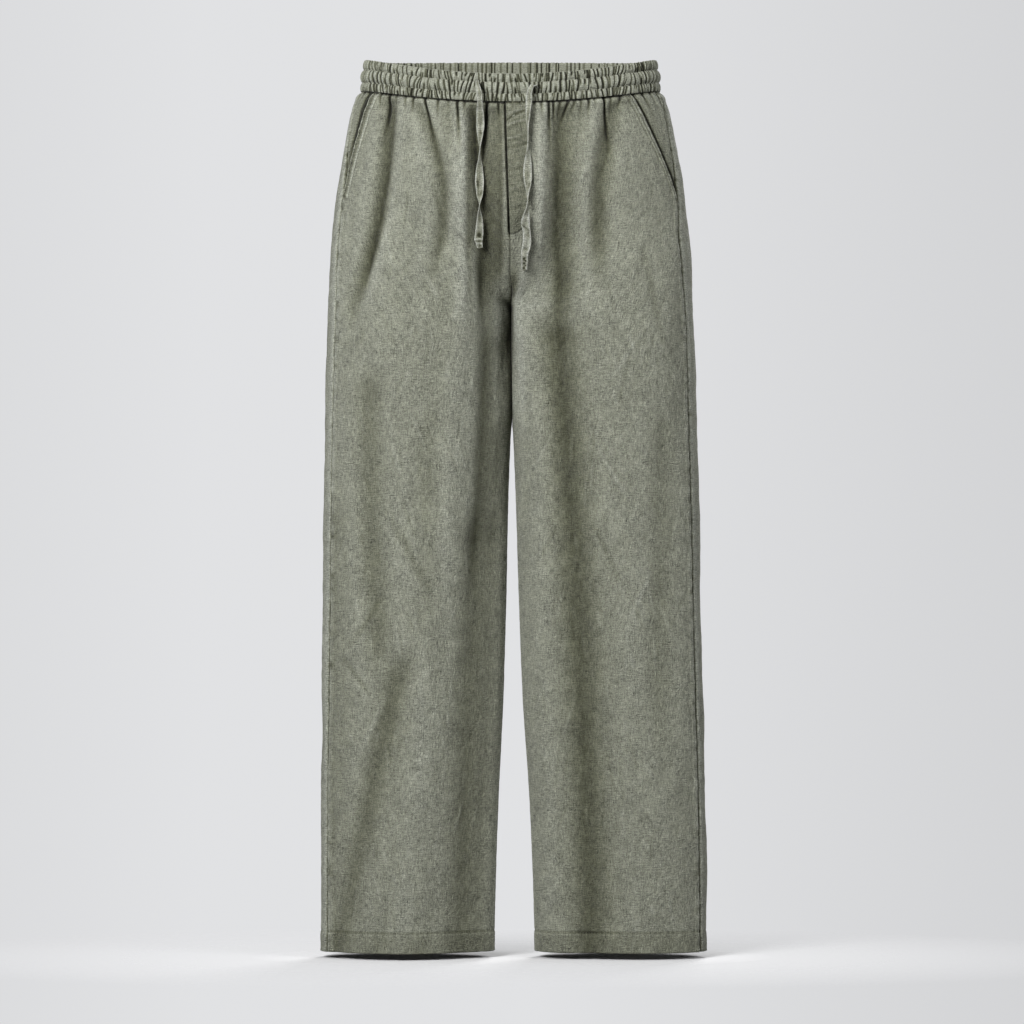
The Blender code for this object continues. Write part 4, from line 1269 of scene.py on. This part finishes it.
def maths(tree, operation, *values):
    """A Math node's result."""
    return add_node(tree, "ShaderNodeMath", dict(enumerate(values)), operation=operation).outputs[0]


def vector_maths(tree, operation, inputs):
    """A Vector Math node's result."""
    return add_node(tree, "ShaderNodeVectorMath", inputs, operation=operation).outputs[0]


def stretched_noise(tree, place, across, along, detail=2.0, rough=0.5, twist=0.0, seed=0.0):
    """Noise on the flat cloth, about 0.5, with lumps of the given sizes."""
    scaled = vector_maths(tree, "MULTIPLY", {0: place, 1: (1.0 / across, 1.0 / along, 1.0)})
    moved = vector_maths(tree, "ADD", {0: scaled, 1: (0.0, 0.0, seed)})
    return add_node(tree, "ShaderNodeTexNoise",
                    {"Vector": moved, "Scale": 1.0, "Detail": detail, "Roughness": rough,
                     "Distortion": twist}).outputs["Fac"]


def span(tree, value, low, high, to_low=0.0, to_high=1.0):
    """A value carried from one range to another, held at the ends."""
    made = add_node(tree, "ShaderNodeMapRange",
                    {"Value": value, "From Min": low, "From Max": high, "To Min": to_low,
                     "To Max": to_high})
    return made.outputs["Result"]


def weave_group():
    """An empty node group for linen, with its inputs and outputs."""
    group = bpy.data.node_groups.new("linen_weave", "ShaderNodeTree")
    for name, way, kind in (("Place", "INPUT", "Vector"), ("Pitch", "INPUT", "Float"),
                            ("Crinkle", "INPUT", "Float"), ("Slub", "INPUT", "Float"),
                            ("Tone", "OUTPUT", "Float"), ("Height", "OUTPUT", "Float")):
        group.interface.new_socket(name=name, in_out=way, socket_type="NodeSocket" + kind)
    return group


def linen_weave():
    """A node group for linen: thread, slubs and washed-in crinkle, on the flat cloth."""
    group = weave_group()
    given = group.nodes.new("NodeGroupInput").outputs
    place = given["Place"]
    apart = add_node(group, "ShaderNodeSeparateXYZ", {0: place}).outputs
    wander = stretched_noise(group, place, 0.004, 0.004, 1.0, seed=1.0)
    waves = []
    for axis in (0, 1):
        moved = maths(group, "MULTIPLY_ADD", wander, 0.0006, apart[axis])
        turns = maths(group, "DIVIDE", moved, given["Pitch"])
        waves.append(maths(group, "SINE", maths(group, "MULTIPLY", turns, 2.0 * math.pi)))
    weave = maths(group, "MULTIPLY", *waves)
    weft = span(group, stretched_noise(group, place, 0.020, 0.0013, 1.5, seed=2.0), 0.60, 0.78)
    warp = span(group, stretched_noise(group, place, 0.0013, 0.026, 1.5, seed=3.0), 0.60, 0.80)
    slubs = maths(group, "MULTIPLY", maths(group, "MAXIMUM", weft, warp), given["Slub"])
    weft = stretched_noise(group, place, 0.0075, 0.0012, 1.0, seed=4.0)
    warp = stretched_noise(group, place, 0.0013, 0.0085, 1.0, seed=5.0)
    threads = maths(group, "SUBTRACT", maths(group, "ADD", weft, warp), 1.0)
    rumpled = 0.0
    for strand in STRANDS:
        turned = add_node(group, "ShaderNodeVectorRotate", {"Vector": place, "Angle": strand.turn},
                          rotation_type="Z_AXIS").outputs[0]
        lines = stretched_noise(group, turned, 0.0016, strand.long, 1.6, 0.6, 0.9,
                                seed=strand.seed)
        share = span(group, stretched_noise(group, place, 0.020, 0.028, 1.0,
                                            seed=strand.seed + 5.0), 0.40, 0.62, 0.15, 1.0)
        rumpled = maths(group, "MULTIPLY_ADD", maths(group, "SUBTRACT", lines, 0.5), share, rumpled)
    rumpled = maths(group, "MULTIPLY", rumpled, given["Crinkle"])
    grain = maths(group, "SUBTRACT",
                  stretched_noise(group, place, 0.0010, 0.0010, 0.0, seed=6.0), 0.5)
    broad = maths(group, "SUBTRACT",
                  stretched_noise(group, place, 0.030, 0.055, 2.0, seed=9.0), 0.5)
    tone, height = 1.0, 0.0
    # The crinkle strands also darken the tone in their hollows and lighten it on their ridges, as
    # painted shade and highlights, besides raising the bump.
    for value, in_tone, in_height in (
            (weave, 0.05, 0.00005), (slubs, 0.34, 0.00011), (threads, 1.20, 0.00016),
            (rumpled, 0.65, 0.00225), (grain, 1.40, 0.0), (broad, 0.11, 0.0)):
        tone = maths(group, "MULTIPLY_ADD", value, in_tone, tone)
        height = maths(group, "MULTIPLY_ADD", value, in_height, height) if in_height else height
    add_node(group, "NodeGroupOutput", {"Tone": tone, "Height": height})
    return group


def new_finish(name):
    """An empty material, its node tree and its shader."""
    made = bpy.data.materials.new(name)
    made.use_nodes = True
    return made, made.node_tree, made.node_tree.nodes["Principled BSDF"]


def cloth_finish(name, weave, colour, pitch, crinkle, slub, painted_shade_strength):
    """Linen in one colour, darker where shade and marks are painted on it and paler where
    highlights are painted.
    """
    made, tree, shader = new_finish(name)
    place = add_node(tree, "ShaderNodeUVMap", uv_map="cloth").outputs[0]
    cloth = add_node(tree, "ShaderNodeGroup", node_tree=weave)
    join(tree, cloth, {"Place": place, "Pitch": pitch, "Crinkle": crinkle, "Slub": slub})
    # The painted shade, highlights and marks, as a factor on the colour.
    painted_shade_and_marks = add_node(tree, "ShaderNodeAttribute", attribute_name="painted_shade_and_marks").outputs["Fac"]
    painted_shade_factor = span(tree, painted_shade_and_marks, -1.0, 2.8, 1.0 + 0.45 * painted_shade_strength, 1.0 - 2.65 * painted_shade_strength)
    painted_shade_factor = maths(tree, "MAXIMUM", painted_shade_factor, 0.04)
    tone = maths(tree, "MULTIPLY", cloth.outputs["Tone"], painted_shade_factor)
    dyed = vector_maths(tree, "SCALE", {0: colour, "Scale": tone})
    # Painted shade is tinted towards olive, less blue, the darker it is.
    olive = add_node(tree, "ShaderNodeCombineXYZ",
                     {0: 1.0, 1: 1.0, 2: maths(tree, "POWER", painted_shade_factor, 0.2)}).outputs[0]
    bump = add_node(tree, "ShaderNodeBump",
                    {"Height": cloth.outputs["Height"], "Strength": 1.0, "Distance": 1.0})
    join(tree, shader, {"Base Color": vector_maths(tree, "MULTIPLY", {0: dyed, 1: olive}),
                        "Normal": bump.outputs[0],
                        "Roughness": span(tree, cloth.outputs["Tone"], 0.7, 1.3, 0.96, 0.82),
                        "Specular IOR Level": 0.25, "Sheen Weight": 0.10, "Sheen Roughness": 0.5})
    return made


def thread_finish(name, colour):
    """Sewing thread: twisted strands, a little brighter along the twist."""
    made, tree, shader = new_finish(name)
    place = add_node(tree, "ShaderNodeTexCoord").outputs["Object"]
    tone = span(tree, stretched_noise(tree, place, 0.0006, 0.0006, 1.0), 0.3, 0.7, 0.8, 1.2)
    join(tree, shader, {"Base Color": vector_maths(tree, "SCALE", {0: colour, "Scale": tone}),
                        "Roughness": 0.6})
    return made


def floor_finish():
    """The pale floor, which fades out into the background all round."""
    made, tree, shader = new_finish("floor")
    place = add_node(tree, "ShaderNodeTexCoord").outputs["Object"]
    apart = add_node(tree, "ShaderNodeSeparateXYZ", {0: place}).outputs
    beside = maths(tree, "SUBTRACT", maths(tree, "ABSOLUTE", apart[0]), 0.125)
    offset = add_node(tree, "ShaderNodeCombineXYZ", {0: maths(tree, "DIVIDE", beside, 0.115),
                                                     1: maths(tree, "DIVIDE", apart[1], 0.070)})
    reach = add_node(tree, "ShaderNodeVectorMath", {0: offset.outputs[0]},
                     operation="LENGTH").outputs["Value"]
    near = span(tree, reach, 0.95, 1.6, 0.50, 0.0)
    wide = span(tree, reach, 1.5, 5.5, 0.50, 0.0)
    join(tree, shader, {"Base Color": FLOOR_COLOUR, "Roughness": 0.9, "Specular IOR Level": 0.1,
                        "Alpha": maths(tree, "ADD", near, wide)})
    return made


# ================================================================ stage, light and camera
def make_stage():
    """A round pale floor just below the hems."""
    bm = bmesh.new()
    bmesh.ops.create_circle(bm, cap_ends=True, segments=96, radius=3.4,
                            matrix=Matrix.Translation((0.0, 0.0, -FLOOR_DROP)))
    floor = new_piece("floor", bm, floor_finish())
    floor.visible_diffuse = False


def make_world():
    """A pale background with a painted pool of light across it, dimmer as a light than it looks."""
    world = bpy.data.worlds.new("studio")
    bpy.context.scene.world = world
    world.use_nodes = True
    tree = world.node_tree
    shown = tree.nodes["Background"]
    place = add_node(tree, "ShaderNodeTexCoord").outputs["Generated"]
    apart = add_node(tree, "ShaderNodeSeparateXYZ", {0: place}).outputs
    glow = add_node(tree, "ShaderNodeValToRGB", {0: span(tree, apart[0], -0.105, 0.105)})
    ramp = glow.color_ramp
    ramp.interpolation = "B_SPLINE"
    for stop, (place, value) in enumerate(GLOW):
        made = ramp.elements[stop] if stop < 2 else ramp.elements.new(place)
        made.position = place
        made.color = (value, value, value, 1.0)
    tone = vector_maths(tree, "MULTIPLY", {0: glow.outputs[0], 1: BACKGROUND})
    join(tree, shown, {"Color": tone})
    lighting = add_node(tree, "ShaderNodeBackground",
                        {"Color": (*BACKGROUND, 1.0), "Strength": AMBIENT})
    seen = add_node(tree, "ShaderNodeLightPath").outputs["Is Camera Ray"]
    mixed = add_node(tree, "ShaderNodeMixShader",
                     {0: seen, 1: lighting.outputs[0], 2: shown.outputs[0]})
    join(tree, tree.nodes["World Output"], {"Surface": mixed.outputs[0]})


def area_light(lamp):
    """A soft square lamp that faces its target."""
    data = bpy.data.lights.new(lamp.name, "AREA")
    data.shape = "SQUARE"
    data.size = lamp.size
    data.energy = lamp.power
    made = bpy.data.objects.new(lamp.name, data)
    made.location = lamp.place
    towards = Vector(lamp.target) - Vector(lamp.place)
    made.rotation_euler = towards.to_track_quat("-Z", "Y").to_euler()
    bpy.context.collection.objects.link(made)


def make_camera():
    """A level camera in front of the garment's middle."""
    data = bpy.data.cameras.new("camera")
    data.sensor_width = 1000.0 * SENSOR
    data.lens = 1000.0 * SENSOR * CAMERA_DISTANCE / FRAME_WIDTH
    camera = bpy.data.objects.new("camera", data)
    camera.location = (0.0, -CAMERA_DISTANCE, CAMERA_HEIGHT)
    camera.rotation_euler = (math.radians(90.0), 0.0, 0.0)
    bpy.context.collection.objects.link(camera)
    bpy.context.scene.camera = camera


def stand_for(piece, node):
    """Puts a finished piece in the place of its plain solid."""
    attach(piece, "root")
    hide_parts(node)


def dress(name, node, cloth, finish, threads=()):
    piece = lay_grid(name, cloth["points"], cloth["flat"], cloth["painted_shade_and_marks"], finish,
                     cloth["side"] < 0)
    stand_for(piece, node)
    for thread in threads:
        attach(thread, "root")


def make_drawstring(finish):
    """Both free ends of the drawstring."""
    # Each tape has its own base of painted shade, darker on the wearer's right.
    for side, route, marks, painted_tape_shade in ((-1, TAPE_RIGHT, MARKS_RIGHT, 1.40),
                                     (1, TAPE_LEFT, MARKS_LEFT, 1.15)):
        piece, middle, length = make_tape("tape_" + WEARER[side], route, marks, painted_tape_shade, finish)
        stand_for(piece, "drawstring_" + WEARER[side])


def make_half(side, linen, thread):
    """The front, back and pocket facing of one side, with their sewing."""
    wearer = WEARER[side]
    front, back, facing = panel_cloth(side, "front"), panel_cloth(side, "back"), facing_cloth(side)
    hem = sewn_piece("hem_stitches_" + wearer, thread, [hem_line(front), hem_line(back)],
                     HEM_STITCH)
    row = float(np.argmin(np.abs(front["drop"] - POCKET_BOTTOM - 0.006)))
    column = front["points"].shape[1] - 1.0 - len(TUCKS) - POCKET_BAR_COLUMNS[side]
    ends = on_cloth(front, np.array([row]), np.array([column]))
    pocket = sewn_piece("pocket_stitches_" + wearer, thread,
                        [edge_line(front, inset, WAIST, POCKET_BOTTOM)
                         for inset in POCKET_ROWS[side]],
                        POCKET_STITCH, zip(*ends), share=0.62, thick=0.0008)
    dress("front_cloth_" + wearer, "front_" + wearer, front, linen, [hem, pocket])
    dress("back_cloth_" + wearer, "back_" + wearer, back, linen)
    dress("facing_cloth_" + wearer, "pocket_facing_" + wearer, facing, linen)


def make_fly(linen, thread):
    """The mock fly and the stitches across its lower end."""
    fly = fly_cloth()
    rows = np.interp(np.linspace(0.1868, 0.1845, 12), fly["drop"], np.arange(len(fly["drop"])))
    stitches = sewn_piece("fly_stitches", thread, [on_cloth(fly, rows, np.linspace(8.0, 24.0, 12))],
                          FLY_STITCH, thick=0.0008)
    dress("fly_cloth", "fly_flap", fly, linen, [stitches])


def make_waistband(finish):
    """The waistband's ring, welded where it closes."""
    band = band_cloth()
    piece = lay_grid("waistband_shirring", band["points"], band["flat"], band["painted_shade_and_marks"], finish)
    weld(piece)
    stand_for(piece, "waistband")
    outer = band["points"][-sum(CHANNEL_ROWS):]
    height = float(np.mean(way_along(outer.transpose(1, 0, 2))[:, -1]))


def build():
    """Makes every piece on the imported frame."""
    make_camera()
    make_world()
    make_stage()
    weave = linen_weave()
    linen = cloth_finish("linen", weave, LINEN_COLOUR, 0.00070, 1.0, 1.0, 0.36)
    shirring = cloth_finish("shirred_linen", weave, LINEN_COLOUR, 0.00070, 0.30, 0.8, 0.66)
    tape = cloth_finish("linen_tape", weave, TAPE_COLOUR, 0.00060, 0.30, 0.8, 0.35)
    thread = thread_finish("thread", THREAD_COLOUR)
    make_drawstring(tape)
    for side in (-1, 1):
        make_half(side, linen, thread)
    make_fly(linen, thread)
    make_waistband(shirring)
    for lamp in LAMPS:
        area_light(lamp)


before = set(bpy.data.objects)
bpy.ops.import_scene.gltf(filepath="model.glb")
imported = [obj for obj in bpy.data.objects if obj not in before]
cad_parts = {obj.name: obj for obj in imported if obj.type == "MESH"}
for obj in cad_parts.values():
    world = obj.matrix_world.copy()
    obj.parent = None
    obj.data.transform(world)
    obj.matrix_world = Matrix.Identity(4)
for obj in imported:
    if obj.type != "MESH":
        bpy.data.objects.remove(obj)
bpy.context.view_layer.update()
build()
bpy.context.scene.view_settings.view_transform = "Standard"
